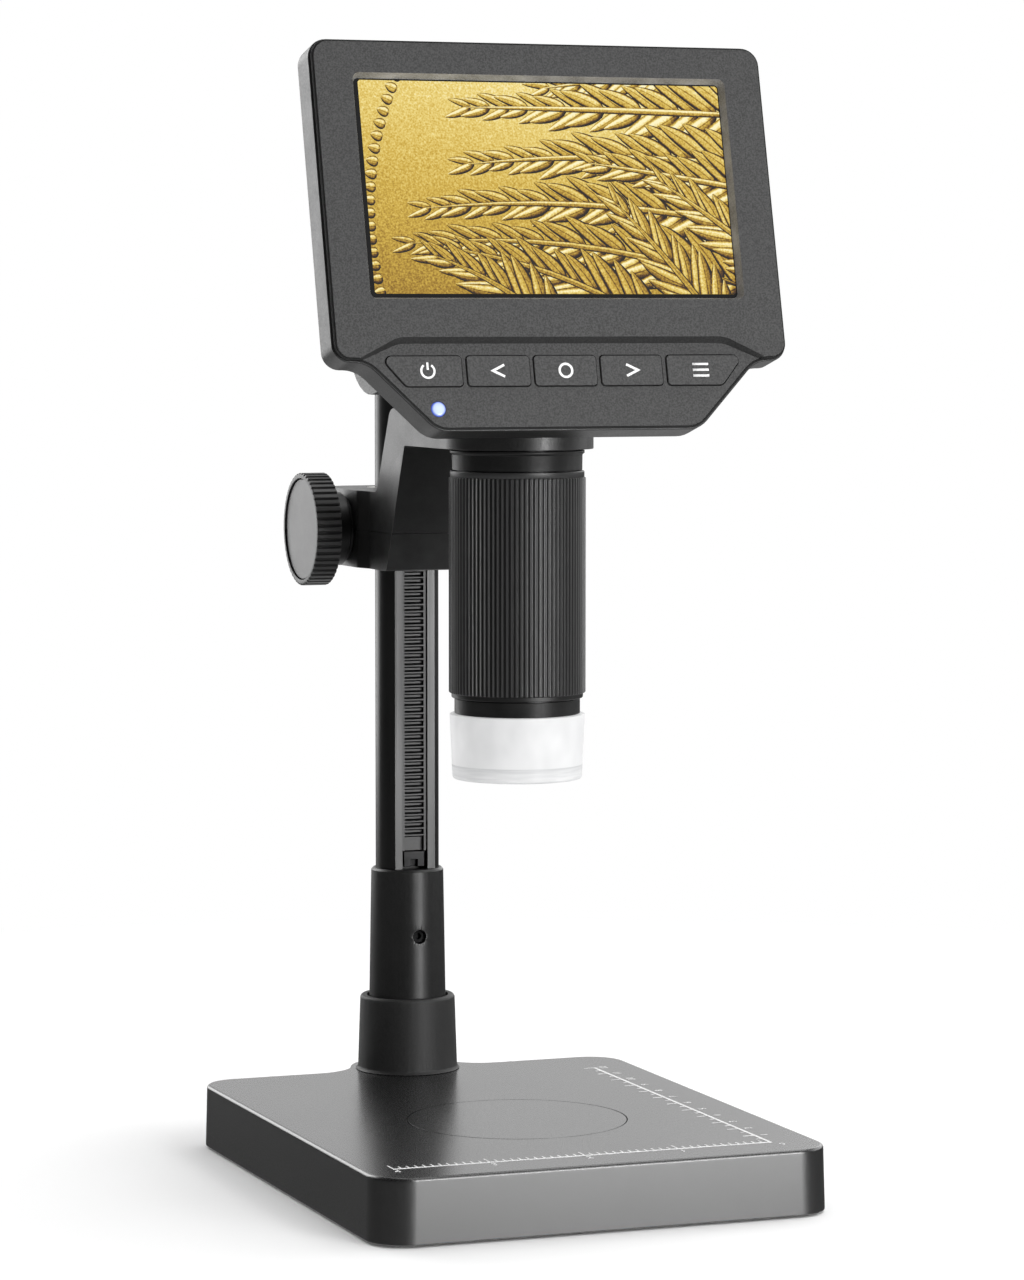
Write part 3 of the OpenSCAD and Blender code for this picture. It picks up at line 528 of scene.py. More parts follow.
COMMON_WIDTH = 0.15  # of the rounded edges, in mm
SOFT_WIDTH = {
    "post_socket": 0.3, "post_sleeve": 0.3, "column": 0.25, "column_cap": 0.4, "rack": 0.05,
    "scale_inch": 0, "scale_cm": 0, "usb_port": 0.08, "card_slot": 0.08, "objective_lens": 0,
    "sensor_ribbon": 0, "image_sensor": 0.05, "light_chips": 0.1, "rubber_feet": 0.3,
    "stage_disc": 0.12, "ring_liner": 0.1,
}


def dress_cad_nodes():
    """Gives every CAD node its material and soft edges."""
    for node, obj in NODES.items():
        obj.data.materials.clear()
        obj.data.materials.append(SPECIAL.get(node, MATERIALS[SLOT_OF[node]]))
        width = SOFT_WIDTH.get(node, COMMON_WIDTH)
        if width:
            soften(obj, width)


dress_cad_nodes()


# ---------- outlines, millimetres ----------


def rounded(corners, step=10):
    """Closed outline from corners (x, y, radius)."""
    outline = []
    for i, (x, y, radius) in enumerate(corners):
        here = Vector((x, y))
        before = (Vector(corners[i - 1][:2]) - here).normalized()
        after = (Vector(corners[(i + 1) % len(corners)][:2]) - here).normalized()
        half = before.angle(after) / 2
        if radius <= 0 or half > math.radians(89.9):
            outline.append(here)
            continue
        centre = here + (before + after).normalized() * (radius / math.sin(half))
        start = here + before * (radius / math.tan(half)) - centre
        end = here + after * (radius / math.tan(half)) - centre
        a0 = math.atan2(start.y, start.x)
        turn = (math.atan2(end.y, end.x) - a0 + math.pi) % TURN - math.pi
        count = max(2, math.ceil(abs(math.degrees(turn)) / step))
        for k in range(count + 1):
            a = a0 + turn * k / count
            outline.append(centre + Vector((math.cos(a), math.sin(a))) * radius)
    return outline


def box_corners(width, height, radius, middle_y):
    side = width / 2
    low = middle_y - height / 2
    high = middle_y + height / 2
    return [(-side, low, radius), (side, low, radius), (side, high, radius), (-side, high, radius)]


def off_line(line, x, y, closed=True):
    """Distance of (x, y) from an outline."""
    here = Vector((x, y))
    best = 1e9
    for i in range(0 if closed else 1, len(line)):
        a, b = line[i - 1], line[i]
        along = b - a
        t = max(0, min(1, (here - a).dot(along) / max(along.length_squared, 1e-12)))
        best = min(best, (here - a - along * t).length)
    return best


# ---------- solids ----------


def loft(bm, rings, close_ends=False, loop=True):
    """Skins a list of equally long closed rings of frame points."""
    made = [[bm.verts.new(p) for p in ring] for ring in rings]
    following = made[1:] + made[:1] if loop else made[1:]
    for a, b in zip(made, following):
        for i in range(len(a)):
            j = (i + 1) % len(a)
            bm.faces.new((a[i], a[j], b[j], b[i]))
    if close_ends:
        bm.faces.new(made[0][::-1])
        bm.faces.new(made[-1])


def placed(place, x, y, z):
    return place @ Vector((x * MM, y * MM, z * MM))


def turned(place, profile, steps=96, ribs=(0,)):
    """A closed profile of (radius, height, rib depth) turned about place's Z axis.

    The pattern ribs repeats steps times round it: 0 is the full radius, 1 the full rib depth.
    """
    bm = bmesh.new()
    count = steps * len(ribs)
    rings = []
    for radius, height, *cut in profile:
        cut = cut[0] if cut else 0
        ring = []
        for k in range(count):
            r = radius - cut * ribs[k % len(ribs)]
            a = TURN * k / count
            ring.append(placed(place, r * math.cos(a), r * math.sin(a), height))
        rings.append(ring)
    loft(bm, rings)
    return bm


def prism(bm, place, outline, low, high):
    """A solid between two heights over an outline."""
    rings = [[placed(place, p.x, p.y, h) for p in outline] for h in (low, high)]
    loft(bm, rings, close_ends=True, loop=False)


def ribbon(bm, place, points, width, low, high, closed=False):
    """A flat bar that follows points, with mitred corners."""
    points = [Vector(p) for p in points]
    sides = []
    for i, here in enumerate(points):
        before = points[i - 1] if closed or i > 0 else here * 2 - points[1]
        last = i == len(points) - 1 and not closed
        after = here * 2 - before if last else points[(i + 1) % len(points)]
        a = (here - before).normalized()
        b = (after - here).normalized()
        normal = Vector((-(a + b).y, (a + b).x)).normalized()
        reach = width / 2 / max(0.4, normal.dot(Vector((-a.y, a.x))))
        sides.append((here + normal * reach, here - normal * reach))
    rings = []
    for left, right in sides:
        corners = ((left, low), (right, low), (right, high), (left, high))
        rings.append([placed(place, p.x, p.y, h) for p, h in corners])
    loft(bm, rings, close_ends=not closed, loop=closed)


def circle_points(radius, start=0.0, end=360.0, steps=24):
    """Points along an arc in degrees; a whole circle doesn't repeat its first."""
    whole = abs(end - start) >= 360
    count = steps if whole else steps + 1
    angles = [math.radians(start + (end - start) * k / steps) for k in range(count)]
    return [(radius * math.cos(a), radius * math.sin(a)) for a in angles]


# ---------- head ----------

# On the head, x is across the face, y up the face and z out of it.
# corners (x, y, radius)
HEAD_OUTLINE = [(-35.5, -62.6, 7.5), (35.5, -62.6, 7.5), (52.8, -44.9, 8), (61.4, -44.9, 4.5),
                (61.4, 38.2, 5), (-61.4, 38.2, 5), (-61.4, -44.9, 4.5), (-52.8, -44.9, 8)]
WALL_FRONT = -0.15  # z of the side walls' front edge
WALL_REAR = -9.5  # and of their rear edge
BULGE_HALF = 47  # half the width of the bulge at the back
BEZEL_STEP = 1.4  # height of the bezel over the key panel
STEP_LINE = [Vector(p) for p in ((-62, -47.7), (-46, -40.6), (-42.5, -39.7), (42.5, -39.7),
                                 (46, -40.6), (62, -47.7))]
STEP_HEAD = 0.93  # how far the slope reaches above that line
STEP_FOOT = 0.53  # and below it
STEP_RIM = 53  # from here outwards its ends slide along the rim
STEP_END = 0.55  # by this much across
STEP_RISE = 0.23  # and this share of it up
GLASS_TOP = -1.03  # z of the display's glass
REVEAL_FIELD = (51.5, 29.8)  # half the field that holds the reveal round the window
KEY_V = -47.3  # height of the key row on the face
LAMP_AT = (-34.7, -56.9)  # charge lamp on the face


def in_head(co):
    return (FROM_HEAD @ co) / MM


def from_head(x, y, z=0):
    return placed(HEAD, x, y, z)


def head_way(x, y):
    return HEAD.to_3x3() @ Vector((x, y, 0)).normalized()


def head_cuts(across, up):
    """Cutting planes at places across and up the face."""
    planes = [(from_head(x, 0), head_way(1, 0)) for x in across]
    return planes + [(from_head(0, y), head_way(0, 1)) for y in up]


def inset_outline(inwards):
    """Head outline drawn in by a few millimetres."""
    out = []
    for i, (x, y, radius) in enumerate(HEAD_OUTLINE):
        here = Vector((x, y))
        before = Vector(HEAD_OUTLINE[i - 1][:2])
        after = Vector(HEAD_OUTLINE[(i + 1) % len(HEAD_OUTLINE)][:2])
        come = (here - before).normalized()
        go = (after - here).normalized()
        come_in = Vector((-come.y, come.x))
        go_in = Vector((-go.y, go.x))
        bend = come.x * go.y - come.y * go.x
        shift = (go_in - come_in) * inwards
        at = here + come_in * inwards + come * ((shift.x * go.y - shift.y * go.x) / bend)
        out.append((at.x, at.y, max(0.2, radius - math.copysign(inwards, bend))))
    return rounded(out)


TINY = 0.05  # places nearer than this are level
COVER_LINE = inset_outline(0.95)
WALL_LINE = inset_outline(0)


def off_step(h):
    return off_line(STEP_LINE, h.x, h.y, closed=False)


def off_rim(h):
    return off_line(COVER_LINE, h.x, h.y)


def slope_step(bm):
    """Draws the head and the foot of the step apart, so that the step becomes a slope."""
    for v in bm.verts:
        h = in_head(v.co)
        if not -TINY < h.z < BEZEL_STEP + TINY or off_step(h) > 0.35:
            continue
        is_foot = h.z < TINY
        if abs(h.x) < STEP_RIM:
            h.y += -STEP_FOOT if is_foot else STEP_HEAD
        else:
            h.x += math.copysign(STEP_END, -h.x if is_foot else h.x)
            h.y += STEP_RISE * (-STEP_END if is_foot else STEP_END)
        v.co = HEAD @ (h * MM)


def face_level(face):
    """1 for a face that looks straight forwards or back on the head, 0 for one square to it."""
    return abs((FROM_HEAD.to_3x3() @ face.normal).z)


def on_reveal(face):
    h = in_head(face.calc_center_median())
    in_field = abs(h.x) < REVEAL_FIELD[0] and abs(h.y) < REVEAL_FIELD[1]
    return in_field and h.z > GLASS_TOP and face_level(face) < 0.8


def on_key_wall(face):
    h = in_head(face.calc_center_median())
    return h.z < 0 and abs(h.y - KEY_V) < 6 and off_rim(h) > 1 and face_level(face) < 0.5


def on_step(face):
    h = in_head(face.calc_center_median())
    return TINY < h.z < BEZEL_STEP - 0.02 and off_step(h) < 1.1 and off_rim(h) > 0.35


def build_front_cover():
    """Bezel with a sloped step down to the key panel and a rounded rim; its reveal is painted
    lighter as painted light, its step and key walls darker as painted shade.
    """
    def on_rim(co):
        return in_head(co).z > -0.1 and off_rim(in_head(co)) < 0.3

    def on_face(co):
        return in_head(co).z > -0.1

    bm = cad_mesh("front_cover", head_cuts(across=(0, LAMP_AT[0]), up=(KEY_V, 0)))
    slope_step(bm)
    round_edges(bm, 0.3, on_rim, segments=3)
    round_edges(bm, 0.22, on_face, segments=2)
    # painted light on the reveal faces, a lighter copy of the face plastic; painted shade on the
    # step slope and key walls, a darker copy
    for face in bm.faces:
        if on_reveal(face):
            face.material_index = 1
        elif on_step(face) or on_key_wall(face):
            face.material_index = 2
    cover = stand_in("front_cover", "face_cover", bm, FACE)
    fine = {"grain": 0.4 * MM, "depth": 0.01 * MM}
    cover.data.materials.append(moulded("lit_reveal_moulded", 0.15, 0.5, **fine))
    cover.data.materials.append(moulded("shaded_step_moulded", 0.02, 0.5, shine=0.2, **fine))


def build_rear_housing():
    """Shell of the head with soft rear edges; its bulge is a prism along X."""
    def on_wall(co, depth):
        h = in_head(co)
        return abs(h.z - depth) < TINY and off_line(WALL_LINE, h.x, h.y) < 0.3

    def on_bulge(co):
        h = in_head(co)
        return h.z < WALL_REAR - 0.1 and abs(abs(h.x) - BULGE_HALF) < 0.1

    bm = cad_mesh("rear_housing", head_cuts(across=(0,), up=(0,)))
    round_edges(bm, 0.9, lambda co: on_wall(co, WALL_REAR), segments=4)
    round_edges(bm, 0.28, lambda co: on_wall(co, WALL_FRONT), segments=3)
    round_edges(bm, 0.7, on_bulge, segments=3)
    stand_in("rear_housing", "head_shell", bm, BLACK)


def build_status_light():
    """Lens of the charge lamp, a low dome."""
    place = HEAD @ Matrix.Translation((LAMP_AT[0] * MM, LAMP_AT[1] * MM, 0))
    dome = [(1.88 * math.cos(a), -0.1 + 0.42 * math.sin(a))
            for a in (math.radians(d) for d in range(0, 90, 15))]
    profile = [(0.02, -4), (2.6, -4), (2.6, -1.8), (1.88, -1.7), *dome, (0.02, 0.32)]
    s = Shader("status_lens", IOR=1.5, Roughness=0.2)
    far = s.vectors("DISTANCE", s.place, place.translation)["Value"]
    ring = s.sums("ADD", s.span(far, 1.35 * MM, 1.85 * MM),
                  s.span(s.noise(0.3 * MM, 2), 0, 1, -0.08, 0.08))
    glow = s.blend(s.span(ring, 0, 1), (0.72, 0.84, 1, 1), (0.03, 0.08, 0.6, 1))
    s.set("Base Color", (0.04, 0.06, 0.15, 1))
    s.set("Emission Color", glow)
    s.set("Emission Strength", 0.85)
    stand_in("status_light", "status_lens", turned(place, profile, 32), s.material, weighted=False)


MARK_INK = white_print("mark_ink")
KEY_TOP = 0.5  # z of the keys
INNER_KEY = 18.0  # how far each mark is from the middle key
OUTER_KEY = 36.9


def mark(name, body, at, strokes):
    """White strokes on the key at a place across: each (points, width, closed)."""
    place = HEAD @ Matrix.Translation((at * MM, KEY_V * MM, 0))
    bm = bmesh.new()
    for points, width, closed in strokes:
        ribbon(bm, place, points, width, KEY_TOP - 0.02, KEY_TOP + 0.05, closed)
    finish_piece(name, bm, body, MARK_INK)


def build_key_marks():
    """Plain signs: stand-by, arrows, ring and list."""
    power = [(circle_points(1.75, start=125, end=415, steps=20), 0.55, False),
             ([(0, 2.2), (0, 0.3)], 0.55, False)]
    left = [([(1.5, 1.5), (-1.6, 0), (1.5, -1.5)], 0.62, False)]
    right = [([(-1.5, 1.5), (1.6, 0), (-1.5, -1.5)], 0.62, False)]
    bars = [([(-2.2, v), (2.2, v)], 0.6, False) for v in (1.5, 0, -1.5)]
    mark("mark_power", "key_power", -OUTER_KEY, power)
    mark("mark_left", "key_left", -INNER_KEY, left)
    mark("mark_ok", "key_ok", 0, [(circle_points(1.7), 0.6, True)])
    mark("mark_right", "key_right", INNER_KEY, right)
    mark("mark_menu", "key_menu", OUTER_KEY, bars)


# ---------- picture on the display ----------

PICTURE = Vector((-48.55, -27.15)), Vector((49.5, 28.0))  # lower left and upper right corner
LIGHT_WAY = Vector((-0.55, 0.83))
LEAF_RISE = 0.0004  # each blade lies this much over the one before
# fern fronds: foot (x, y), heading, count of leaflet pairs, length, bend
FRONDS = [((60, 34), 186, 13, 60, 0.02), ((64, 20), 178, 16, 86, 0.02),
          ((62, 6), 173, 15, 84, 0.12), ((58, -10), 168, 17, 92, 0.16),
          ((56, -27), 158, 17, 94, 0.26), ((30, -38), 144, 14, 64, 0.28),
          ((70, -2), 170, 12, 60, 0.02), ((2, -40), 130, 10, 40, 0.30),
          ((48, -42), 122, 12, 50, 0.10), ((66, -24), 140, 12, 44, 0.05)]
LEAFLET_REACH = 17.5  # length of a leaflet at a frond's foot
LEAFLET_SPREAD = 46  # its angle to the stem there
STEM_WIDTH = 1.9
BEAD_CENTRE = Vector((40, -12))
BEAD_RADIUS = 88.5  # of the arc through the middles of the beads
BEAD_COUNT = 26
BEAD_START = 150  # degrees along the arc
BEAD_STEP = 2.2
BEAD_LENGTH = 3.4
BEAD_WIDTH = 2.9
BLADE_ROWS = 10
BLADE_FILL = 2.21  # makes the widest place of a blade its whole width
BLADE_COLUMNS = (-1, -0.72, -0.1, 0.1, 0.72, 1)  # places across a blade


def leaf(bm, shade, root, way, length, width, bend, layer):
    """A pointed blade; its colour attribute holds across, along and lean to the light."""
    side = Vector((-way.y, way.x))
    verts = []
    for i in range(BLADE_ROWS):
        t = 0.02 + 0.96 * i / (BLADE_ROWS - 1)
        half = width / 2 * BLADE_FILL * t ** 0.45 * (1 - t) ** 0.75
        spine = root + way * (length * t) + side * (bend * length * t * t)
        line = []
        for c in BLADE_COLUMNS:
            p = spine + side * (half * c)
            v = bm.verts.new(from_head(p.x, p.y, layer))
            v[shade] = (c * 0.5 + 0.5, t, side.dot(LIGHT_WAY) * 0.5 + 0.5, 1)
            line.append(v)
        verts.append(line)
    for a, b in zip(verts, verts[1:]):
        for i in range(len(BLADE_COLUMNS) - 1):
            bm.faces.new((a[i], a[i + 1], b[i + 1], b[i]))


def draw_frond(bm, shade, foot, heading, pairs, length, bend, layer):
    """Leaflets on both sides of a curved stem, from its tip; gives back the last layer."""
    way = Vector((math.cos(math.radians(heading)), math.sin(math.radians(heading))))
    side = Vector((-way.y, way.x))
    for k in range(pairs, 0, -1):
        t = k / (pairs + 0.6)
        root = Vector(foot) + way * (length * t) + side * (bend * length * t * t)
        along = (way + side * (2 * bend * t)).normalized()
        for sign in (-1, 1):
            reach = LEAFLET_REACH * (1 - 0.62 * t) * (1 + 0.1 * math.sin(5.1 * k + sign))
            spread = math.radians(sign * (LEAFLET_SPREAD - 20 * t + 4 * math.sin(3.3 * k)))
            out = Vector((along.x * math.cos(spread) - along.y * math.sin(spread),
                          along.x * math.sin(spread) + along.y * math.cos(spread)))
            layer += LEAF_RISE
            leaf(bm, shade, root, out, reach, 0.3 * reach, -0.16 * sign, layer)
    layer += LEAF_RISE
    leaf(bm, shade, Vector(foot), way, length, STEM_WIDTH, bend, layer)
    return layer


def draw_beads(bm, shade, layer):
    """A row of beads along the arc at the picture's left; gives back the last layer."""
    for k in range(BEAD_COUNT):
        a = math.radians(BEAD_START + BEAD_STEP * k)
        out = Vector((math.cos(a), math.sin(a)))
        root = BEAD_CENTRE + out * (BEAD_RADIUS - BEAD_LENGTH / 2)
        layer += LEAF_RISE
        leaf(bm, shade, root, out, BEAD_LENGTH, BEAD_WIDTH, 0, layer)
    return layer


def clip_picture(bm):
    """Cuts the blades off at the picture's edges and its four small corner facets."""
    low, high = PICTURE
    nip = 0.5
    cuts = [(low, (-1, 0)), (low, (0, -1)), (high, (1, 0)), (high, (0, 1)),
            (low + Vector((nip, 0)), (-1, -1)), (high - Vector((nip, 0)), (1, 1)),
            (Vector((low.x + nip, high.y)), (-1, 1)), (Vector((high.x - nip, low.y)), (1, -1))]
    for point, way in cuts:
        bmesh.ops.bisect_plane(bm, geom=bm.verts[:] + bm.edges[:] + bm.faces[:],
                               plane_co=from_head(*point), plane_no=head_way(*way),
                               clear_outer=True)


def picture_material():
    """A gold relief seen large: blades with dark outlines and bright crests on a grained field."""
    s = Shader("relief_picture", Roughness=0.25)
    held = s.add("ShaderNodeAttribute", attribute_name="shade").outputs["Color"]
    facts = s.add("ShaderNodeSeparateColor", {0: held}).outputs
    across = s.span(facts[0], 0, 1, -1, 1)
    lean = s.span(facts[2], 0, 1, -1, 1)
    off_middle = s.sums("ABSOLUTE", across)
    slope = s.sums("MULTIPLY", s.sums("MULTIPLY", across, lean), 0.75)
    rim = s.span(off_middle, 0.62, 0.95)
    vein = s.sums("MULTIPLY", s.span(off_middle, 0.12, 0.02), 0.3)
    foot = s.sums("MULTIPLY", s.span(facts[1], 0.22, 0.0), 0.55)
    grain = s.span(s.noise(0.5 * MM, 2), 0.2, 0.8, -0.2, 0.2)
    top = HEAD_MIDDLE.z + 27 * MM
    from_above = s.span(s.height(), top - 54 * MM, top, -0.05, 0.14)
    level = s.sums("ADD", 0.6, slope)
    for dark in (rim, vein, foot):
        level = s.sums("SUBTRACT", level, dark)
    for bright in (grain, from_above):
        level = s.sums("ADD", level, bright)
    gold = s.ramp(level, [(0.0, (0.008, 0.003, 0.001, 1)), (0.22, (0.08, 0.03, 0.002, 1)),
                          (0.42, (0.33, 0.18, 0.01, 1)), (0.62, (0.62, 0.41, 0.05, 1)),
                          (0.82, (0.84, 0.66, 0.2, 1)), (1.0, (0.98, 0.9, 0.55, 1))])
    s.set("Base Color", grey(0.005))
    s.set("Specular IOR Level", 0.12)
    s.set("Emission Color", gold)
    s.set("Emission Strength", 1.0)
    return s.material


def build_glass():
    """Black glass of the display, a little wider than its window."""
    bm = bmesh.new()
    prism(bm, HEAD, rounded(box_corners(102.4, 59.4, 0.8, 0.1)), -1.6, GLASS_TOP)
    s = Shader("panel_glass", Specular_IOR_Level=0.04)
    smear = s.noise(8 * MM, 4)
    s.set("Base Color", s.blend(smear, grey(0.006), grey(0.012)))
    s.set("Roughness", s.span(smear, 0.3, 0.7, 0.08, 0.16))
    stand_in("display_window", "display_glass", bm, s.material, weighted=False)


def build_picture():
    """A gilded relief on the glass: fern fronds beside a row of beads."""
    bm = bmesh.new()
    shade = bm.verts.layers.float_color.new("shade")
    low, high = PICTURE
    corners = ((low.x, low.y), (high.x, low.y), (high.x, high.y), (low.x, high.y))
    ground = [bm.verts.new(from_head(x, y, GLASS_TOP + 0.01)) for x, y in corners]
    for v, tone in zip(ground, (0.36, 0.5, 0.75, 0.55)):
        v[shade] = (0.75, 0.6, tone, 1)
    bm.faces.new(ground)
    layer = draw_beads(bm, shade, GLASS_TOP + 0.02)
    for foot, heading, pairs, length, bend in FRONDS:
        layer = draw_frond(bm, shade, foot, heading, pairs, length, bend, layer)
    clip_picture(bm)
    picture = finish_piece("display_picture", bm, "head", picture_material())
    picture.data.polygons.foreach_set("use_smooth", [False] * len(picture.data.polygons))


# ---------- barrel and knob ----------


def ribbed_rubber(name, axis_point, mask, low, high):
    """Rubber painted darker between its ribs as painted shade in the grooves, low and high being
    the radii of groove and rib.

    The mask is 0 along the axis and 1 across it.
    """
    s = Shader(name, IOR=1.5)
    off = s.vectors("SUBTRACT", s.place, axis_point)[0]
    radius = s.vectors("LENGTH", s.vectors("MULTIPLY", off, mask)[0])["Value"]
    unshaded_rib = s.span(radius, low * MM, high * MM)
    # painted shade: near black in the grooves, the rib tone on the ribs
    tone = s.blend(unshaded_rib, grey(0.002), grey(0.036))
    fine = s.noise(0.3 * MM, 3)
    worn = s.span(s.noise(7 * MM, 4), 0.55, 0.8, 0, 0.5)
    return s.done(s.blend(worn, tone, grey(0.035)), s.span(fine, 0.2, 0.8, 0.34, 0.48),
                  fine, 0.008 * MM, 0.6)


def build_focus_ring():
    """Ninety straight ribs between a plain top band and a plain foot band."""
    place = Matrix.Translation((AXIS.x, AXIS.y, 0))
    profile = [(15.8, 128.2), (16.95, 128.2), (17.1, 128.35), (17.15, 129.3), (17.3, 129.4),
               (17.6, 129.5, 0.25), (17.8, 129.7, 0.5), (17.8, 185.2, 0.5), (17.65, 185.4, 0.3),
               (17.35, 185.45), (17.45, 185.6), (17.45, 186.95), (17.3, 187.1), (15.8, 187.1)]
    bm = turned(place, profile, 90, (0, 0, 0.85, 1, 0.85))
    material = ribbed_rubber("ribbed_grip", AXIS, (1, 1, 0), 17.3, 17.75)
    stand_in("focus_ring", "grip_ring", bm, material)


def build_knob():
    """Knob with fifty flat ribs, a sunk face for the cap and a stepped hub."""
    place = Matrix.Translation((0, AXLE.y, AXLE.z)) @ Matrix.Rotation(math.pi / 2, 4, "Y")
    low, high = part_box("knob")
    rim = low.x / MM
    radius = (high.z - low.z) / MM / 2
    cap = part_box("knob_cap")
    seat = cap[1].x / MM + 0.05
    bore = (cap[1].z - cap[0].z) / MM / 2 + 0.1
    profile = [(2.55, seat), (bore, seat), (bore, rim + 0.12), (bore + 0.12, rim),
               (radius - 0.5, rim), (radius - 0.2, rim + 0.08, 0.3), (radius, rim + 0.3, 0.55),
               (radius, -27.4, 0.55), (radius - 0.2, -27.2, 0.35), (radius - 0.6, -27.2),
               (10.3, -27.2), (10, -26.9), (10, -23), (9.7, -22.7), (8.8, -22.7),
               (8.8, -21.75), (2.55, -21.75)]
    bm = turned(place, profile, 50, (0, 0, 0, 0, 0.85, 1, 0.85))
    material = ribbed_rubber("ribbed_knob", AXLE, (0, 1, 1), radius - 0.6, radius - 0.1)
    stand_in("knob", "focus_knob", bm, material)


def build_diffuser():
    """Frosted cup: thin wall, thick rounded foot, stepped inside."""
    place = Matrix.Translation((AXIS.x, AXIS.y, 0))
    profile = [(8, 107.3), (8.3, 107), (16, 107), (16.45, 107.1), (16.75, 107.35), (16.9, 107.8),
               (17.58, 123.55), (17.55, 123.85), (17.3, 124), (15.95, 124), (15.95, 119.3),
               (15.3, 119.1), (15.1, 111.2), (14.7, 110.8), (8, 110.8)]
    stand_in("diffuser", "light_cup", turned(place, profile), MATERIALS["frosted"])


# ---------- carriage and base ----------

# edges within these radii stay sharp, because other pieces fit there
RING_BORE = 17.5 * MM
POST_BORE = 11.6 * MM
AXLE_BORE = 9.6 * MM
STAGE_WELL = 40 * MM
SOCKET_BORE = 10 * MM


def clear_of(co, axis, radius):
    """True further than radius from an upright axis."""
    return math.hypot(co.x - axis.x, co.y - axis.y) > radius


def build_carriage():
    """Both halves of the carriage with soft outer edges."""
    def outside(co):
        off_axle = math.hypot(co.y - AXLE.y, co.z - AXLE.z) > AXLE_BORE or abs(co.x) < 18 * MM
        off_split = abs(co.z - AXLE.z) > 0.2 * MM
        off_bores = clear_of(co, AXIS, RING_BORE) and clear_of(co, COLUMN, POST_BORE)
        return off_bores and off_axle and off_split

    for node, name in (("carriage_arm", "arm_upper"), ("carriage_base", "arm_lower")):
        bm = cad_mesh(node)
        round_edges(bm, 0.3, outside, segments=3)
        stand_in(node, name, bm, BLACK)


def build_base():
    """Hollow base block with a soft top edge and a slight draft."""
    low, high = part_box("base_shell")
    middle_y = (low.y + high.y) / 2
    half_y = (high.y - low.y) / 2
    draft = 0.35 * MM

    def on_top(co):
        free = clear_of(co, AXIS, STAGE_WELL) and clear_of(co, COLUMN, SOCKET_BORE)
        return free and co.z > high.z - 0.1 * MM

    def on_foot(co):
        return co.z < low.z + 0.1 * MM

    bm = cad_mesh("base_shell")
    for v in bm.verts:
        if on_top(v.co):
            v.co.x *= 1 - draft / high.x
            v.co.y = middle_y + (v.co.y - middle_y) * (1 - draft / half_y)
    round_edges(bm, 0.9, on_top, segments=4)
    round_edges(bm, 0.3, on_foot, segments=2)
    stand_in("base_shell", "base_block", bm, BASE_SKIN)


# ---------- ruler figures ----------

CORNER = Vector((48.5, -71.75))  # where both rulers start
INCH = 25.4
DIGIT_SHARE = 0.72  # height of a digit for a font size of 1
INK = 0.03 * MM


def figure(bm, text, height, at, turn):
    """Digits in the built-in font, laid on the base top with their middle at a point."""
    curve = bpy.data.curves.new("figure", "FONT")
    curve.body = text
    curve.size = height * MM / DIGIT_SHARE
    curve.align_x = "CENTER"
    curve.align_y = "CENTER"
    curve.extrude = INK
    curve.resolution_u = 3
    holder = new_object("figure", curve)
    bpy.context.view_layer.update()
    shaped = holder.evaluated_get(bpy.context.evaluated_depsgraph_get())
    mesh = bpy.data.meshes.new_from_object(shaped)
    spin = Matrix.Rotation(math.radians(turn), 4, "Z")
    mesh.transform(Matrix.Translation((at[0] * MM, at[1] * MM, BASE_TOP + INK)) @ spin)
    bm.from_mesh(mesh)
    bpy.data.objects.remove(holder)
    bpy.data.curves.remove(curve)
    bpy.data.meshes.remove(mesh)


def build_figures():
    """Numbers along both rulers, and the 0 at their corner."""
    bm = bmesh.new()
    for k in range(1, 5):
        figure(bm, str(k), 2.3, (CORNER.x - k * INCH, CORNER.y - 3.0), 0)
    for k in range(1, 13):
        figure(bm, str(k), 2.2, (CORNER.x + 2.8, CORNER.y + k * 10), 90)
    figure(bm, "0", 2.2, (CORNER.x + 1.8, CORNER.y - 3.4), 0)
    finish_piece("scale_figures", bm, "base", MATERIALS["print"])


build_front_cover()
build_rear_housing()
build_status_light()
build_key_marks()
build_glass()
build_picture()
build_focus_ring()
build_knob()
build_diffuser()
build_carriage()
build_base()
build_figures()


# ---------- camera ----------

CAMERA_AT = (-0.4128, -1.09925, 0.2276)
CAMERA_TILT = 85.82  # degrees
CAMERA_TURN = -20.83
LENS = 125.53


def aim_camera():
    """The photo's camera, as fitted to its rulers and outlines."""
    data = bpy.data.cameras.new("camera")
    data.sensor_width = 36
    data.lens = LENS
    data.clip_start = 0.05
    data.clip_end = 50
    camera = new_object("camera", data)
    camera.location = CAMERA_AT
    camera.rotation_euler = (math.radians(CAMERA_TILT), 0, math.radians(CAMERA_TURN))
    bpy.context.scene.camera = camera


aim_camera()


# ---------- studio ----------

VIEW_WAY = Matrix.Rotation(math.radians(CAMERA_TURN), 3, "Z") @ Vector((0, 1, 0))
FRONT_WAY = Vector((0.355, -0.93, 0))  # towards the main lamp, which glances off the front
# name, spot on the floor, height over it, height aimed at over the middle, width, length,
# radiance, and True for a mere sheen
LAMPS = [
    ("front_strip", FRONT_WAY * 1.1, 0.09, 0.09, 0.42, 0.34, 17),
    ("front_upper", FRONT_WAY * 1.155, 0.7, 0.2, 0.7, 0.6, 3.2),
    ("back_left", FRONT_WAY * -0.9, 0.43, 0.3, 0.5, 0.86, 2.9),
    ("back_low", VIEW_WAY * 1.3, 0.42, 0.1, 0.5, 0.7, 0.25, True),
    ("back_right", (0.9, 0.75), 0.6, 0.15, 0.9, 0.8, 1.6, True),
    ("back_high", (-0.75, 0.95), 0.75, 0.15, 0.9, 0.8, 1.8, True),
    ("right_panel", (0.95, -0.02), 0.42, 0.3, 0.75, 0.6, 2.0),
    ("overhead", (0.4, 0.15), 1.35, 0.15, 1.1, 1.1, 2.3),
]


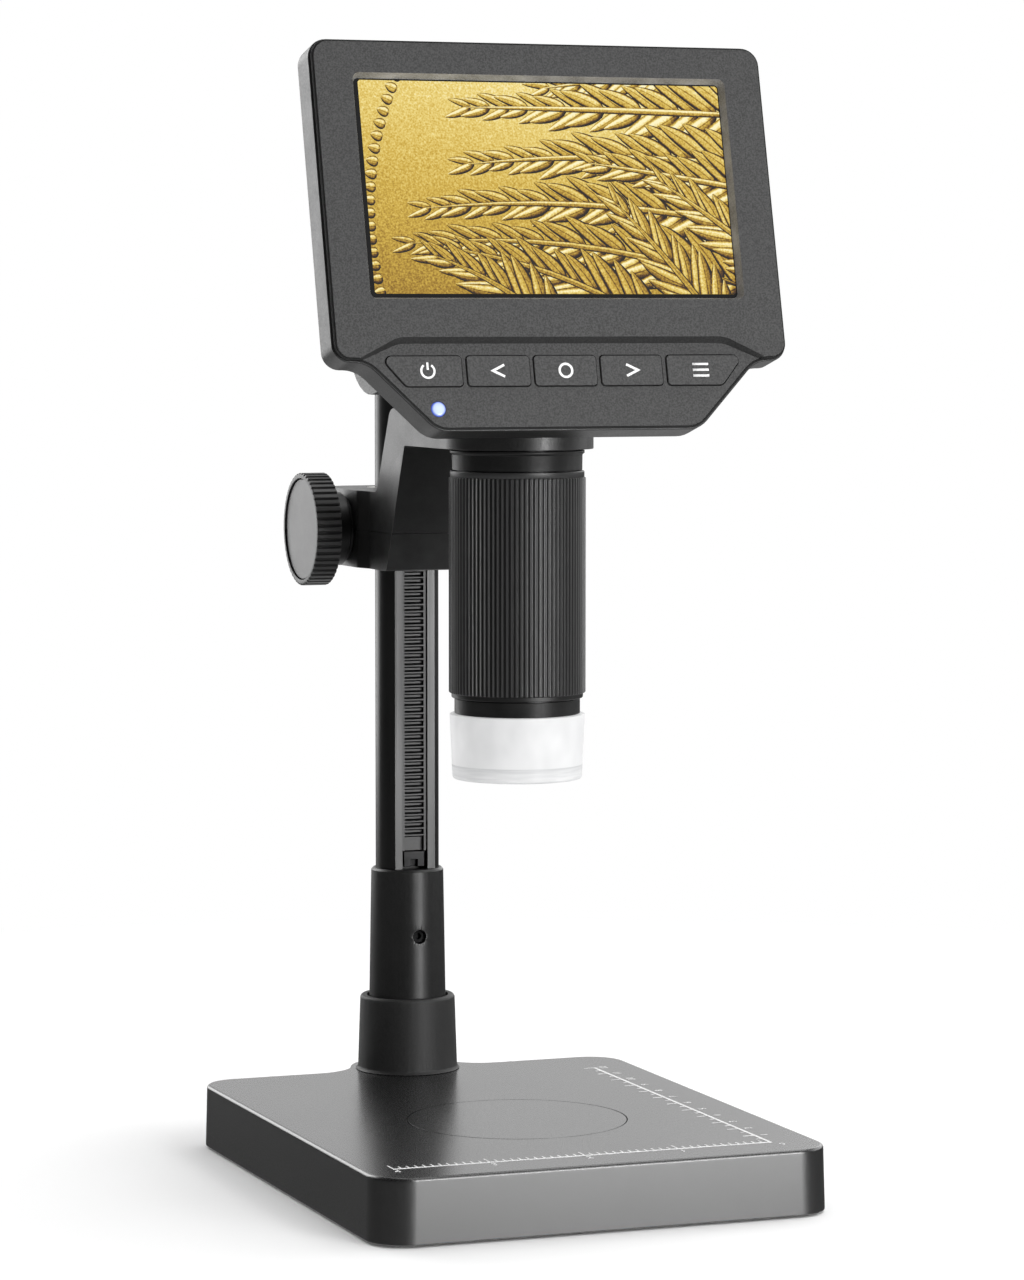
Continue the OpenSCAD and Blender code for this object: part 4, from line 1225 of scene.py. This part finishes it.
def softbox(name, spot, height, aim, width, length, radiance, sheen_only=False):
    """A flat lamp that the camera doesn't see; a sheen shows in glosses and lights nothing."""
    data = bpy.data.lights.new(name, "AREA")
    data.shape = "RECTANGLE"
    data.size = width
    data.size_y = length
    data.energy = radiance * math.pi * width * length
    lamp = new_object(name, data)
    lamp.location = (spot[0], spot[1], height)
    way = Vector((0, 0, aim)) - lamp.location
    lamp.rotation_euler = way.to_track_quat("-Z", "Y").to_euler()
    lamp.visible_camera = False
    lamp.visible_diffuse = not sheen_only


def make_world():
    """Plain light all round that is white for the camera and in glass.

    Mirrors and glosses see it white behind the object, dim in front of it and light below.
    """
    world = bpy.data.worlds.new("studio")
    bpy.context.scene.world = world
    world.use_nodes = True
    n = Nodes(world.node_tree)
    white = n.tree.nodes["Background"]
    n.feed(white.inputs["Color"], grey(1))
    n.feed(white.inputs["Strength"], 1)
    way = n.add("ShaderNodeTexCoord").outputs["Generated"]
    ahead = n.vectors("DOT_PRODUCT", way, VIEW_WAY)["Value"]
    height = n.add("ShaderNodeSeparateXYZ", {0: way}).outputs[2]
    fade = n.span(ahead, 0.7, 0.92, 0.06, 1.0, interpolation_type="SMOOTHSTEP")
    horizon = n.span(height, -0.06, 0.04, 0.1, 1.0)
    ground = n.span(height, -0.5, -0.2, 1.1, 0.0)
    level = n.sums("MULTIPLY_ADD", fade, horizon, ground)
    room = n.add("ShaderNodeBackground", {"Strength": level})
    path = n.add("ShaderNodeLightPath").outputs
    below = n.add("ShaderNodeBackground", {"Strength": 0.66}).outputs[0]
    rays = {"Is Glossy Ray": room, "Is Camera Ray": white, "Is Transmission Ray": white}
    for ray, shown in rays.items():
        shaders = {0: path[ray], 1: below, 2: shown.outputs[0]}
        below = n.add("ShaderNodeMixShader", shaders).outputs[0]
    n.feed(n.tree.nodes["World Output"].inputs[0], below)


def lay_floor():
    """Pale floor that keeps the shadow near the base and fades to plain white further out."""
    bm = bmesh.new()
    bmesh.ops.create_grid(bm, x_segments=8, y_segments=8, size=6)
    mesh = bpy.data.meshes.new("floor")
    bm.to_mesh(mesh)
    bm.free()
    floor = new_object("floor", mesh)
    floor.location.z = -0.0002
    floor.visible_glossy = False
    s = Shader("floor", Roughness=0.9)
    cloud = s.noise(0.6, 2)
    s.set("Base Color", s.blend(cloud, grey(0.93), grey(0.96)))
    s.set("Specular IOR Level", 0.0)
    fade = s.span(s.vectors("LENGTH", s.place)["Value"], 0.14, 0.5)
    glow = s.add("ShaderNodeEmission", {"Strength": 1.0})
    mix = s.add("ShaderNodeMixShader", {0: fade, 1: s.surface.outputs[0], 2: glow.outputs[0]})
    s.feed(s.tree.nodes["Material Output"].inputs[0], mix.outputs[0])
    mesh.materials.append(s.material)


for row in LAMPS:
    softbox(*row)
make_world()
lay_floor()

bpy.context.scene.view_settings.view_transform = "Standard"
